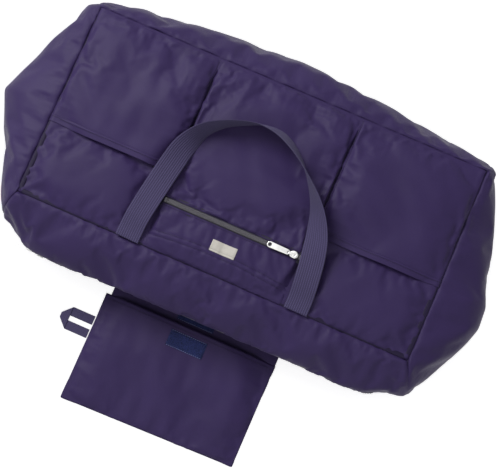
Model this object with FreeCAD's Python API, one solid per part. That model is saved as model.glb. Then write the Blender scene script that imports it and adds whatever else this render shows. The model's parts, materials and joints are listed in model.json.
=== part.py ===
"""Foldable tote bag lying on its back, with its storage pouch laid out below the mouth.

Millimetres. X runs along the bag, Y across it from the mouth (-Y) to the base (+Y) and Z up from
the floor. Soft panels are plain closed solids of the right size and place. Everything is modelled
about the middle of the front panel, and the finished parts are then moved so that the origin is on
the floor, below the middle of the whole object's box.
"""

import FreeCAD
import Part
import os
from math import acos, asin, cos, pi, radians, sin

Vector = FreeCAD.Vector

# ---------------------------------------------------------------- driving dimensions
PANEL_LENGTH = 480.0        # front and back panels, along X
PANEL_WIDTH = 233.0         # front and back panels, along Y
BAG_HEIGHT = 86.0           # floor to the front panel's face
PANEL_FABRIC = 1.2          # panels and gussets
POCKET_FABRIC = 1.0         # pocket outers and zip facing
POCKET_DEPTH = 6.5          # how far the pockets stand out from the front panel
POCKET_SEAM_X = 87.0        # the two seams between the three pockets
SLIP_MOUTH_Y = -27.0        # hemmed mouth of the two slip pockets
BINDING_WIDTH = 6.0         # bound seam allowances around both panels
FRONT_BINDING_HEIGHT = 2.5
BACK_BINDING_HEIGHT = 3.6   # the back seam carries the bag on the floor

# How far the gussets bow out: (share of the side's length, bow), from -X to +X or -Y to +Y
BASE_BOWS = [(0.10, 23.0), (0.22, 29.0), (0.36, 33.0), (0.50, 36.0), (0.64, 33.0), (0.78, 27.0),
             (0.90, 20.0)]
LEFT_BOWS = [(0.12, 38.0), (0.29, 56.0), (0.46, 72.0), (0.59, 56.0), (0.76, 35.0), (0.91, 18.0)]
RIGHT_BOWS = [(0.12, 50.0), (0.29, 67.0), (0.40, 68.0), (0.48, 60.0), (0.61, 52.0), (0.74, 41.0),
              (0.87, 29.0)]
MOUTH_BOW = 52.0
# Where the corner seams stand out to, from each corner of the panels
CORNER_BASE_LEFT = (-11.0, 10.0)
CORNER_BASE_RIGHT = (13.0, 12.0)
CORNER_MOUTH_LEFT = (-12.0, -30.0)
CORNER_MOUTH_RIGHT = (18.0, -36.0)

# Zips, both of one make: two coils on two tapes with a slider astride them
ZIP_TAPE = 0.6              # thickness
ZIP_TAPE_HALF = 6.0         # middle of the zip to a tape's outer edge
ZIP_GAP_HALF = 0.7          # middle of the zip to a coil
COIL_HALF = 2.6             # middle of the zip to a coil's outer side
COIL_HEIGHT = 1.6
SLIDER_LENGTH = 10.4
SLIDER_WIDTH = 7.4
SLIDER_PLATE = 1.0
SLIDER_WEB = 0.7
PULL_LENGTH = 32.5          # pivot to free end
PULL_WIDTH = 7.0
PULL_THICK = 1.2
PULL_HOLE = 2.2             # radius
PIVOT_RADIUS = 0.6
ZIP_STOP = 2.0

POCKET_ZIP_Y = -59.0
POCKET_ZIP_OPENING = 8.0    # between the two fabric edges
POCKET_ZIP_END = 83.0       # end of the coils on the side where the slider rests
POCKET_ZIP_START = -79.0
POCKET_SLIDE = 148.0
POCKET_PULL_SWING_DEG = 105.0  # it stops against the handle
MAIN_PULL_SWING_DEG = 160.0

MAIN_ZIP_HALF = 199.0       # coils end here, each side of the middle
MAIN_ZIP_PANEL_HALF = 205.0  # the mouth's straight stretch, each side of the middle
LIP_HALF = 185.0            # the lip that lifts, each side of the middle
LIP_FABRIC_EDGE = 6.5       # middle of the main zip to the gusset's fabric
LIP_OPEN_DEG = 34.0

WEBBING_WIDTH = 28.0
WEBBING_THICK = 1.4
HANDLE_ROOT_IN = 2.0        # pocket seam to the webbing's edge at its root
HANDLE_LIFT = 1.6           # front panel's face to the middle of the webbing at its root
HANDLE_SWING_DEG = 130.0
BACK_ARM_LENGTH = 138.0     # back handle folded square: root to the far edge of the cross strip
BACK_NOTCH = 1.5            # room beside the webbing where it passes the back seam

LABEL_LENGTH = 30.0
LABEL_WIDTH = 13.0
LABEL_THICK = 0.8
LABEL_AT = (2.0, -85.0)

POUCH_LENGTH = 220.0        # along X
POUCH_WIDTH = 136.0         # mouth to bottom seam
POUCH_AT_X = 2.0
POUCH_MOUTH_GAP = 11.5      # bag's bowed mouth to the pouch's mouth
POUCH_HEIGHT = 7.8          # at its gaping mouth
POUCH_BOTTOM_HEIGHT = 3.0
POUCH_SLOPE = 26.0          # side seam to the level top
POUCH_SLIDE = 80.0
FLAP_LENGTH = 23.0
FLAP_WIDTH = 212.0
PATCH_LENGTH = 46.0
LOOP_PATCH_WIDTH = 20.0
LOOP_PATCH_IN = 8.0         # pouch's mouth to the loop patch
HOOK_PATCH_WIDTH = 16.0
PATCH_THICK = 1.6

TAPE_WIDTH = 11.0           # hanging loop on the pouch's side
TAPE_THICK = 0.9
TAB_LENGTH = 39.0
TAB_SLIT = 6.0
TAB_IN = 50.0               # pouch's mouth to the middle of the tab
TAB_LIFT_DEG = 85.0
FLAP_FOLD_DEG = 180.0

# ---------------------------------------------------------------- clearances
CLEAR = 0.35                # between pieces that move past each other
LIP_GAP = 1.2               # panel's edge to the lip, so that its edge turns freely
LIP_END_GAP = 0.6
FLOOR_CLEAR = 0.3           # moving pieces that lie near the floor
SEAM_GAP = 0.2              # between neighbouring pockets
TAB_CLEAR = 1.2             # pouch's side to the tab, so that its edge turns freely

# ---------------------------------------------------------------- worked out
HALF_L = PANEL_LENGTH / 2
HALF_W = PANEL_WIDTH / 2
FRONT_Z = BAG_HEIGHT
BACK_Z = BACK_BINDING_HEIGHT
MID_Z = (FRONT_Z + BACK_Z) / 2
HALF_H = (FRONT_Z - BACK_Z) / 2
POCKET_Z = FRONT_Z + POCKET_DEPTH
LIP_EDGE_ANGLE = asin(LIP_FABRIC_EDGE / HALF_H)
LIP_TAPE_EDGE = (HALF_H - PANEL_FABRIC) * sin(LIP_EDGE_ANGLE)
MAIN_TAPE_Y = -HALF_W - MOUTH_BOW * cos(LIP_EDGE_ANGLE)
POCKET_TAPE_Z = POCKET_Z - POCKET_FABRIC
POCKET_SLIDER_X = POCKET_ZIP_END - SLIDER_LENGTH / 2 - 1.3
MAIN_SLIDER_X = -MAIN_ZIP_HALF + SLIDER_LENGTH / 2 + 1.3
MAIN_SLIDE = -2 * MAIN_SLIDER_X
PIVOT_HEIGHT = COIL_HEIGHT + CLEAR + SLIDER_PLATE + CLEAR + PIVOT_RADIUS
POUCH_MOUTH_Y = -HALF_W - MOUTH_BOW - POUCH_MOUTH_GAP
POUCH_BOTTOM_Y = POUCH_MOUTH_Y - POUCH_WIDTH
POUCH_LEFT_X = POUCH_AT_X - POUCH_LENGTH / 2
FLAP_AXIS_Z = (FLOOR_CLEAR + POUCH_HEIGHT + 2 * PATCH_THICK + 2 * CLEAR + 2 * POCKET_FABRIC) / 2
TAB_Y = POUCH_MOUTH_Y - TAB_IN
HANDLE_AXIS_Z = FRONT_Z + HANDLE_LIFT
HANDLE_ROOT_X = POCKET_SEAM_X + HANDLE_ROOT_IN + WEBBING_WIDTH / 2
BACK_HANDLE_Z = FLOOR_CLEAR + WEBBING_THICK / 2

# The front handle lies in a loose arch over the pockets. Each row: x as a share of the root's, y, how
# far it has climbed from the panel to the pockets' face from 0 to 1, spare height above that, and how
# far the webbing leans, from 0 lying flat to 90 on edge, past 90 leaning in.
HANDLE_ROUTE = [
    (-1.000, -116.5, 0.0, 0.0, 0.0),
    (-0.995, -103.0, 0.4, 0.0, 0.0),
    (-0.981, -88.0, 1.0, 0.9, 0.0),
    (-0.947, -66.0, 1.0, 3.8, 2.0),
    (-0.913, -45.0, 1.0, 3.8, 6.0),
    (-0.869, -20.0, 1.0, 3.1, 14.0),
    (-0.816, 3.0, 1.0, 2.0, 30.0),
    (-0.699, 27.0, 1.0, 0.1, 62.0),
    (-0.505, 43.5, 1.0, 0.8, 82.0),
    (-0.262, 55.0, 1.0, 1.1, 92.0),
    (-0.078, 59.5, 1.0, 1.4, 105.0),
    (0.136, 57.0, 1.0, 1.5, 114.0),
    (0.369, 43.0, 1.0, 0.8, 106.0),
    (0.583, 22.0, 1.0, -0.3, 86.0),
    (0.767, -2.0, 1.0, 0.1, 62.0),
    (0.883, -28.0, 1.0, 1.5, 34.0),
    (0.947, -55.0, 1.0, 3.1, 10.0),
    (0.985, -84.0, 1.0, 1.0, 2.0),
    (1.000, -101.0, 0.4, 0.0, 0.0),
    (1.000, -116.5, 0.0, 0.0, 0.0),
]


def box(x0, x1, y0, y1, z0, z1):
    return Part.makeBox(x1 - x0, y1 - y0, z1 - z0, Vector(x0, y0, z0))


def prism(points, z0, z1):
    """A flat outline of (x, y) points raised from z0 to z1."""
    corners = [Vector(x, y, z0) for x, y in points]
    face = Part.Face(Part.makePolygon(corners + corners[:1]))
    return face.extrude(Vector(0, 0, z1 - z0))


def ruled(sections):
    """A closed solid with straight sides from one outline to the next."""
    wires = [Part.makePolygon(points + points[:1]) for points in sections]
    solid = Part.makeLoft(wires, True, True)
    return solid if solid.Volume > 0 else solid.reversed()


def fused(shapes):
    """One solid from pieces that meet, with no seams left across its faces."""
    first, *rest = shapes
    for shape in rest:
        first = first.fuse(shape)
    return first.removeSplitter()


# ---------------------------------------------------------------- gussets
def side_stations(start, end, bows, out, corner_start, corner_end):
    """Stations along one side of the panels: a point on the edge and the fabric's furthest reach.

    The reach is square to the side except at the two ends, where it is the corner seam's.
    """
    stations = [(start, corner_start)]
    for share, bow in bows:
        point = tuple(a + (b - a) * share for a, b in zip(start, end))
        stations.append((point, (out[0] * bow, out[1] * bow)))
    stations.append((end, corner_end))
    return stations


def bowed(stations, low=-pi / 2, high=pi / 2, steps=10):
    """A bowed band of fabric: at each station half an ellipse from the back panel to the front one.

    The ellipse reaches HALF_H up and down and the station's reach outwards. low and high are the
    angles on it where the band begins and ends.
    """
    sections = []
    for (x, y), (reach_x, reach_y) in stations:
        reach = (reach_x**2 + reach_y**2) ** 0.5
        inner = (reach - PANEL_FABRIC) / reach
        angles = [low + (high - low) * i / steps for i in range(steps + 1)]
        outside = [
            Vector(x + reach_x * cos(a), y + reach_y * cos(a), MID_Z + HALF_H * sin(a)) for a in angles
        ]
        inside = [
            Vector(
                x + reach_x * inner * cos(a),
                y + reach_y * inner * cos(a),
                MID_Z + (HALF_H - PANEL_FABRIC) * sin(a),
            )
            for a in angles
        ]
        sections.append(outside + inside[::-1])
    return ruled(sections)


def base_gusset():
    return bowed(side_stations((-HALF_L, HALF_W), (HALF_L, HALF_W), BASE_BOWS, (0, 1),
                               CORNER_BASE_LEFT, CORNER_BASE_RIGHT))


def left_end_gusset():
    return bowed(side_stations((-HALF_L, -HALF_W), (-HALF_L, HALF_W), LEFT_BOWS, (-1, 0),
                               CORNER_MOUTH_LEFT, CORNER_BASE_LEFT))


def right_end_gusset():
    return bowed(side_stations((HALF_L, -HALF_W), (HALF_L, HALF_W), RIGHT_BOWS, (1, 0),
                               CORNER_MOUTH_RIGHT, CORNER_BASE_RIGHT))


def mouth_station(x):
    return (x, -HALF_W), (0.0, -MOUTH_BOW)


def mouth_gusset_back():
    """The lower half of the mouth's bow, up to the main zip."""
    ends = [mouth_station(-MAIN_ZIP_PANEL_HALF), mouth_station(MAIN_ZIP_PANEL_HALF)]
    return bowed(ends, high=-LIP_EDGE_ANGLE, steps=6)


def mouth_gusset_ends():
    """Both ends of the mouth's bow: whole past the zip, and only the upper half beside the lip."""
    ends = []
    for sign, corner in ((-1, CORNER_MOUTH_LEFT), (1, CORNER_MOUTH_RIGHT)):
        past_zip = bowed([((sign * HALF_L, -HALF_W), corner), mouth_station(sign * MAIN_ZIP_PANEL_HALF)])
        beside_lip = bowed(
            [mouth_station(sign * MAIN_ZIP_PANEL_HALF), mouth_station(sign * (LIP_HALF + LIP_END_GAP))],
            low=LIP_EDGE_ANGLE,
            steps=6,
        )
        ends.append(past_zip.fuse(beside_lip))
    return Part.makeCompound(ends)


def mouth_gusset_front():
    """The lip: the upper half of the mouth's bow, just clear of the panel that it turns on."""
    ends = [mouth_station(-LIP_HALF), mouth_station(LIP_HALF)]
    return bowed(ends, low=LIP_EDGE_ANGLE, high=acos(LIP_GAP / MOUTH_BOW), steps=6)


# ---------------------------------------------------------------- panels, seams and pockets
def panel(bottom):
    return box(-HALF_L, HALF_L, -HALF_W, HALF_W, bottom, bottom + PANEL_FABRIC)


def binding(low, high):
    """Four strips around the inside of the panels' edge."""
    inner_l = HALF_L - BINDING_WIDTH
    inner_w = HALF_W - BINDING_WIDTH
    return [
        box(-HALF_L, HALF_L, inner_w, HALF_W, low, high),
        box(-HALF_L, HALF_L, -HALF_W, -inner_w, low, high),
        box(-HALF_L, -inner_l, -inner_w, inner_w, low, high),
        box(inner_l, HALF_L, -inner_w, inner_w, low, high),
    ]


def front_seam_binding():
    under = FRONT_Z - PANEL_FABRIC
    return fused(binding(under - FRONT_BINDING_HEIGHT, under))


def back_seam_binding():
    """It stands on the floor, and lets the back handle's two ends pass under it."""
    ring = fused(binding(0.0, BACK_Z))
    half = WEBBING_WIDTH / 2 + BACK_NOTCH
    top = BACK_HANDLE_Z + WEBBING_THICK / 2 + CLEAR
    for side in (-HANDLE_ROOT_X, HANDLE_ROOT_X):
        ring = ring.cut(box(side - half, side + half, -HALF_W - 1, -HALF_W + BINDING_WIDTH + 1, -1, top))
    return ring


def pocket(x0, x1, y0, y1, open_side):
    """A shallow fabric tray on the front panel, open towards -Y or +Y."""
    outer = box(x0, x1, y0, y1, FRONT_Z, POCKET_Z)
    t = POCKET_FABRIC
    inner_y0 = y0 - 1 if open_side < 0 else y0 + t
    inner_y1 = y1 + 1 if open_side > 0 else y1 - t
    return outer.cut(box(x0 + t, x1 - t, inner_y0, inner_y1, FRONT_Z - 1, POCKET_Z - t))


def left_slip_pocket():
    return pocket(-HALF_L, -POCKET_SEAM_X - SEAM_GAP, SLIP_MOUTH_Y, HALF_W, -1)


def right_slip_pocket():
    return pocket(POCKET_SEAM_X + SEAM_GAP, HALF_L, SLIP_MOUTH_Y, HALF_W, -1)


def center_pocket_panel():
    return pocket(-POCKET_SEAM_X, POCKET_SEAM_X, POCKET_ZIP_Y + POCKET_ZIP_OPENING / 2, HALF_W, -1)


def zip_facing():
    return pocket(-POCKET_SEAM_X, POCKET_SEAM_X, -HALF_W, POCKET_ZIP_Y - POCKET_ZIP_OPENING / 2, 1)


def blank_label():
    x, y = LABEL_AT
    return box(x - LABEL_LENGTH / 2, x + LABEL_LENGTH / 2, y - LABEL_WIDTH / 2, y + LABEL_WIDTH / 2,
               POCKET_Z, POCKET_Z + LABEL_THICK)


# ---------------------------------------------------------------- zips
# Each is built in its own frame: X along the zip, Y across it, Z out of the tape's face.
def strip(x0, x1, side, half, z0, z1):
    """A bar beside the zip's middle gap, on its low or its high side."""
    y0, y1 = sorted((side * ZIP_GAP_HALF, side * half))
    return box(x0, x1, y0, y1, z0, z1)


def tapes(x0, x1, half, sides=(-1, 1)):
    return [strip(x0, x1, s, half, -ZIP_TAPE, 0) for s in sides]


def coils(x0, x1, sides=(-1, 1)):
    return [strip(x0, x1, s, COIL_HALF, 0, COIL_HEIGHT) for s in sides]


def stops(x0, x1):
    """A stop past each end of the coils."""
    return [
        box(x0 - ZIP_STOP - CLEAR, x0 - CLEAR, -COIL_HALF, COIL_HALF, 0, COIL_HEIGHT),
        box(x1 + CLEAR, x1 + CLEAR + ZIP_STOP, -COIL_HALF, COIL_HALF, 0, COIL_HEIGHT),
    ]


def slider():
    """Two plates joined by a web between the coils, with a bridge for the pull."""
    length, width = SLIDER_LENGTH / 2, SLIDER_WIDTH / 2
    face = COIL_HEIGHT + CLEAR
    top = face + SLIDER_PLATE
    under = -ZIP_TAPE - CLEAR
    bar = PIVOT_HEIGHT + PIVOT_RADIUS + CLEAR
    post_in, post_out = 2.4, 3.6
    return fused([
        box(-length, length, -width, width, face, top),
        box(-length, length, -width, -COIL_HALF - CLEAR, CLEAR, face),
        box(-length, length, COIL_HALF + CLEAR, width, CLEAR, face),
        box(0, length, -SLIDER_WEB / 2, SLIDER_WEB / 2, under, face),
        box(-length, length, -width, width, under - SLIDER_PLATE, under),
        box(-post_out, -post_in, -SLIDER_WEB, SLIDER_WEB, top, bar),
        box(post_in, post_out, -SLIDER_WEB, SLIDER_WEB, top, bar),
        box(-post_out, post_out, -SLIDER_WEB, SLIDER_WEB, bar, bar + SLIDER_PLATE),
    ])


def pull():
    """A flat tag with a round hole, and an eye around the slider's bridge. It points to -X."""
    half_w, half_t = PULL_WIDTH / 2, PULL_THICK / 2
    eye = 4.6
    plate = box(-PULL_LENGTH + half_w, 0, -half_w, half_w, -half_t, half_t)
    tip = Part.makeCylinder(half_w, PULL_THICK, Vector(-PULL_LENGTH + half_w, 0, -half_t))
    hole = Part.makeCylinder(PULL_HOLE, PULL_THICK + 2, Vector(-PULL_LENGTH + half_w, 0, -half_t - 1))
    slot = box(-eye, 1, -SLIDER_WEB - CLEAR, SLIDER_WEB + CLEAR, -half_t - 1, half_t + 1)
    pin = Part.makeCylinder(PIVOT_RADIUS, PULL_WIDTH, Vector(0, -half_w, 0), Vector(0, 1, 0))
    return fused([plate.fuse(tip).cut(hole).cut(slot), pin])


def on_pocket(shape, x=0.0, lift=0.0):
    return shape.translated(Vector(x, POCKET_ZIP_Y, POCKET_TAPE_Z + lift))


def on_mouth(shape, x=0.0, lift=0.0):
    """The mouth's zip faces -Y, so its frame is turned a quarter about X."""
    turned = shape.copy()
    turned.rotate(Vector(0, 0, 0), Vector(1, 0, 0), 90)
    return turned.translated(Vector(x, MAIN_TAPE_Y - lift, MID_Z))


def main_tape_solids():
    """The back tape along the whole zip, and short lengths of the front one on the fixed ends."""
    inner, outer = LIP_HALF + LIP_END_GAP, MAIN_ZIP_PANEL_HALF
    half = LIP_TAPE_EDGE
    back = tapes(-outer, outer, half, (-1,))
    return back + tapes(-outer, -inner, half, (1,)) + tapes(inner, outer, half, (1,))


def main_coil_solids():
    inner = LIP_HALF + LIP_END_GAP
    return (
        coils(-MAIN_ZIP_HALF, MAIN_ZIP_HALF, (-1,))
        + coils(-MAIN_ZIP_HALF, -inner, (1,))
        + coils(inner, MAIN_ZIP_HALF, (1,))
    )


# ---------------------------------------------------------------- handles
def handle_rows():
    """The middle of the webbing at each row of the route, and its lean in radians."""
    rows = []
    for share, y, climb, spare, lean_deg in HANDLE_ROUTE:
        lean = radians(lean_deg)
        lift = climb * POCKET_DEPTH + spare + WEBBING_WIDTH / 2 * sin(lean)
        rows.append((Vector(share * HANDLE_ROOT_X, y, HANDLE_AXIS_Z + lift), lean))
    return rows


def front_handle():
    """Webbing carried along the route, with its width leaning as each row says."""
    rows = handle_rows()
    sections = []
    for i, (middle, lean) in enumerate(rows):
        along = (rows[min(i + 1, len(rows) - 1)][0] - rows[max(i - 1, 0)][0]).normalize()
        out = Vector(-along.y, along.x, 0).normalize()
        width = out * cos(lean) + Vector(0, 0, sin(lean))
        width = (width - along * width.dot(along)).normalize()
        thick = along.cross(width) * (WEBBING_THICK / 2)
        width = width * (WEBBING_WIDTH / 2)
        sections.append([
            middle - width - thick, middle + width - thick, middle + width + thick, middle - width + thick,
        ])
    return ruled(sections)


def handle_length():
    points = [middle for middle, lean in handle_rows()]
    return sum((b - a).Length for a, b in zip(points, points[1:]))


def back_handle():
    """The back webbing folded square and flat: two arms, and a cross strip laid over their ends."""
    half = WEBBING_WIDTH / 2
    low = BACK_HANDLE_Z - WEBBING_THICK / 2
    root, far = -HALF_W, -HALF_W + BACK_ARM_LENGTH
    inner, outer = HANDLE_ROOT_X - half, HANDLE_ROOT_X + half
    arms = [
        prism([(s * outer, root), (s * outer, far - WEBBING_WIDTH), (s * inner, far), (s * inner, root)],
              low, low + WEBBING_THICK)
        for s in (-1, 1)
    ]
    cross = prism([(-outer, far - WEBBING_WIDTH), (outer, far - WEBBING_WIDTH), (inner, far), (-inner, far)],
                  low + WEBBING_THICK, low + 2 * WEBBING_THICK)
    return fused(arms + [cross])


# ---------------------------------------------------------------- storage pouch
def pouch_back():
    return box(POUCH_LEFT_X, POUCH_LEFT_X + POUCH_LENGTH, POUCH_BOTTOM_Y, POUCH_MOUTH_Y, 0, PANEL_FABRIC)


def pouch_front():
    """The pouch's upper layer: seamed down at the sides and bottom, standing open at the mouth."""
    half = POUCH_LENGTH / 2
    stations = [
        (POUCH_BOTTOM_Y, POUCH_BOTTOM_HEIGHT),
        (POUCH_MOUTH_Y - POUCH_WIDTH / 2, POUCH_HEIGHT),
        (POUCH_MOUTH_Y, POUCH_HEIGHT),
    ]
    sections = []
    for y, height in stations:
        seam = PANEL_FABRIC + POCKET_FABRIC
        level = max(height, seam)
        top = [(-half, seam), (-half + POUCH_SLOPE, level), (half - POUCH_SLOPE, level), (half, seam)]
        upper = [Vector(POUCH_AT_X + x, y, z) for x, z in top]
        lower = [Vector(POUCH_AT_X + x, y, z - POCKET_FABRIC) for x, z in reversed(top)]
        sections.append(upper + lower)
    return ruled(sections)


def patch(width, y_middle, bottom):
    return box(POUCH_AT_X - PATCH_LENGTH / 2, POUCH_AT_X + PATCH_LENGTH / 2,
               y_middle - width / 2, y_middle + width / 2, bottom, bottom + PATCH_THICK)


def loop_patch():
    return patch(LOOP_PATCH_WIDTH, POUCH_MOUTH_Y - LOOP_PATCH_IN - LOOP_PATCH_WIDTH / 2, POUCH_HEIGHT)


def pouch_flap():
    """A closing flap behind the pouch's mouth, lying open on the floor."""
    start = POUCH_MOUTH_Y + FLOOR_CLEAR
    return box(POUCH_AT_X - FLAP_WIDTH / 2, POUCH_AT_X + FLAP_WIDTH / 2, start, start + FLAP_LENGTH,
               FLOOR_CLEAR, FLOOR_CLEAR + POCKET_FABRIC)


def hook_patch():
    end = POUCH_MOUTH_Y + FLOOR_CLEAR + FLAP_LENGTH - 2
    return patch(HOOK_PATCH_WIDTH, end - HOOK_PATCH_WIDTH / 2, FLOOR_CLEAR + POCKET_FABRIC)


def pouch_loop_tab():
    """A hanging loop of narrow tape, folded to a blunt point, out of the pouch's side seam."""
    half = TAPE_WIDTH + TAB_SLIT / 2
    root = POUCH_LEFT_X - TAB_CLEAR
    tip = root - TAB_LENGTH
    shoulder = tip + half - TAB_SLIT / 2
    flat = prism(
        [(root, -half), (shoulder, -half), (tip, -TAB_SLIT / 2),
         (tip, TAB_SLIT / 2), (shoulder, half), (root, half)],
        FLOOR_CLEAR, FLOOR_CLEAR + TAPE_THICK,
    )
    fold = prism([(shoulder, -half), (tip, -TAB_SLIT / 2), (tip, TAB_SLIT / 2), (shoulder, half)],
                 FLOOR_CLEAR + TAPE_THICK, FLOOR_CLEAR + 2 * TAPE_THICK)
    slit = box(tip + TAPE_WIDTH, root + 1, -TAB_SLIT / 2, TAB_SLIT / 2, -1, 5)
    return fused([flat, fold]).cut(slit).translated(Vector(0, TAB_Y, 0))


# ---------------------------------------------------------------- the whole object
def build():
    return {
        "front_panel": panel(FRONT_Z - PANEL_FABRIC),
        "back_panel": panel(BACK_Z),
        "front_seam_binding": front_seam_binding(),
        "back_seam_binding": back_seam_binding(),
        "base_gusset": base_gusset(),
        "left_end_gusset": left_end_gusset(),
        "right_end_gusset": right_end_gusset(),
        "mouth_gusset_back": mouth_gusset_back(),
        "mouth_gusset_ends": mouth_gusset_ends(),
        "left_slip_pocket": left_slip_pocket(),
        "right_slip_pocket": right_slip_pocket(),
        "center_pocket_panel": center_pocket_panel(),
        "zip_facing": zip_facing(),
        "blank_label": blank_label(),
        "pocket_zip_tape": on_pocket(Part.makeCompound(
            tapes(POCKET_ZIP_START - 4, POCKET_ZIP_END + 2.5, ZIP_TAPE_HALF))),
        "pocket_zip_coils": on_pocket(Part.makeCompound(coils(POCKET_ZIP_START, POCKET_ZIP_END))),
        "pocket_zip_stops": on_pocket(Part.makeCompound(stops(POCKET_ZIP_START, POCKET_ZIP_END))),
        "main_zip_tape": on_mouth(Part.makeCompound(main_tape_solids())),
        "main_zip_coils": on_mouth(Part.makeCompound(main_coil_solids())),
        "main_zip_stops": on_mouth(Part.makeCompound(stops(-MAIN_ZIP_HALF, MAIN_ZIP_HALF))),
        "mouth_gusset_front": mouth_gusset_front(),
        "lip_zip_tape": on_mouth(tapes(-LIP_HALF, LIP_HALF, LIP_TAPE_EDGE, (1,))[0]),
        "lip_zip_coil": on_mouth(coils(-LIP_HALF, LIP_HALF, (1,))[0]),
        "main_zip_slider": on_mouth(slider(), MAIN_SLIDER_X),
        "main_zip_pull": on_mouth(pull(), MAIN_SLIDER_X, PIVOT_HEIGHT),
        "pocket_zip_slider": on_pocket(slider(), POCKET_SLIDER_X),
        "pocket_zip_pull": on_pocket(pull(), POCKET_SLIDER_X, PIVOT_HEIGHT),
        "front_handle": front_handle(),
        "back_handle": back_handle(),
        "pouch_back": pouch_back(),
        "pouch_front": pouch_front(),
        "loop_patch": loop_patch(),
        "pouch_flap": pouch_flap(),
        "hook_patch": hook_patch(),
        "pouch_loop_tab": pouch_loop_tab(),
    }


def origin_of(parts):
    """The middle of the whole object's box, on the floor."""
    bounds = Part.makeCompound(list(parts.values())).BoundBox
    return Vector(bounds.Center.x, bounds.Center.y, 0)


parts = build()
origin = origin_of(parts)
os.makedirs("parts", exist_ok=True)
for name, shape in parts.items():
    shape.translated(-origin).exportStep(f"parts/{name}.step")
print(f"{len(parts)} parts, origin at {origin.x:.2f}, {origin.y:.2f}, front handle {handle_length():.0f} long")
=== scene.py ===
"""The foldable tote bag's cloth, webbing, zips and pouch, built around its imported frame.

Laid out as an add-on and run as a script. Metres, in the frame's own axes: X along the bag, Y from
the mouth to the base, Z up from the floor.
"""

import json

import bmesh
import bpy
import numpy as np
from mathutils import Matrix, Vector

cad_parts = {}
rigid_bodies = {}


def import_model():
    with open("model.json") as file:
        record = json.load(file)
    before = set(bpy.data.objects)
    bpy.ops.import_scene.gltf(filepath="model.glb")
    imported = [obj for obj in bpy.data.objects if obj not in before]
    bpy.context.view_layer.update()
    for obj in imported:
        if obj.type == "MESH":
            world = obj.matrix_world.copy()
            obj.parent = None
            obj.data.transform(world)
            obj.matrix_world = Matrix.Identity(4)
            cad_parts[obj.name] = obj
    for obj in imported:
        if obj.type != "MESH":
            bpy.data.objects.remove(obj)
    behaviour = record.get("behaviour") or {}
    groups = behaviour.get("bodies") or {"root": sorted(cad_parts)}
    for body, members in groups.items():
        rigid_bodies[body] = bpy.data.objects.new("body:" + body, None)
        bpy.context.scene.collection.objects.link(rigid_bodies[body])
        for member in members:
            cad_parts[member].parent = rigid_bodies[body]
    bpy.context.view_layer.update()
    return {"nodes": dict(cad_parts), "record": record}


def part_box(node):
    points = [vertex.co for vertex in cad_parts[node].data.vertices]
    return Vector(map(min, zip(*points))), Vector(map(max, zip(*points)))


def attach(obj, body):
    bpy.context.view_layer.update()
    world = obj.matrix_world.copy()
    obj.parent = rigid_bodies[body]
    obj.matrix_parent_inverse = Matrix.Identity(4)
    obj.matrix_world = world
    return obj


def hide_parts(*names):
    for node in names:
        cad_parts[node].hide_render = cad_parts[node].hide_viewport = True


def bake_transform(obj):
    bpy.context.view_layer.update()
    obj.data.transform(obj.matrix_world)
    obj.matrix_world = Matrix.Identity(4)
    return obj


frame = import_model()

bl_info = {
    "name": "Foldable tote bag",
    "version": (1, 0, 0),
    "blender": (4, 5, 0),
    "location": "View3D > Sidebar > Tote",
    "description": "Builds the cloth, webbing, zips and pouch of a foldable tote bag",
    "category": "Add Mesh",
}

MM = 0.001


# ---------------------------------------------------------------- places worked out from the frame
def low(node):
    return np.array(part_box(node)[0])


def high(node):
    return np.array(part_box(node)[1])


LEFT, MOUTH = low("front_panel")[:2]
RIGHT, BASE, FRONT_TOP = high("front_panel")
BACK_UNDER = low("back_panel")[2]
MID_Z = (FRONT_TOP + BACK_UNDER) / 2
HALF_H = (FRONT_TOP - BACK_UNDER) / 2
POCKET_TOP = high("center_pocket_panel")[2]
SEAM_LEFT = low("center_pocket_panel")[0]
SEAM_RIGHT = high("center_pocket_panel")[0]
SLIP_MOUTH = low("left_slip_pocket")[1]
ZIP_UPPER_EDGE = low("center_pocket_panel")[1]
ZIP_LOWER_EDGE = high("zip_facing")[1]
MIDDLE_X = (SEAM_LEFT + SEAM_RIGHT) / 2


# ---------------------------------------------------------------- sizes and colours a user may change
class ToteSizes(bpy.types.PropertyGroup):
    cloth: bpy.props.FloatProperty(
        name="Cloth", description="Thickness of the nylon", default=0.45 * MM, unit="LENGTH")
    puff: bpy.props.FloatProperty(
        name="Slack", description="How much longer the cloth is than its seams", default=0.035,
        subtype="FACTOR")
    stitch: bpy.props.FloatProperty(
        name="Stitch", description="Length of one stitch", default=2.6 * MM, unit="LENGTH")
    thread: bpy.props.FloatProperty(
        name="Thread", description="Thickness of the sewing thread", default=0.55 * MM, unit="LENGTH")
    webbing: bpy.props.FloatProperty(
        name="Webbing", description="Thickness of the handle webbing", default=1.4 * MM, unit="LENGTH")
    pucker: bpy.props.FloatProperty(
        name="Pucker", description="Height of the small ripples beside a seam", default=0.55 * MM,
        unit="LENGTH")
    coil_pitch: bpy.props.FloatProperty(
        name="Coil pitch", description="From one turn of a zip's coil to the next", default=1.25 * MM,
        unit="LENGTH")


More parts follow.
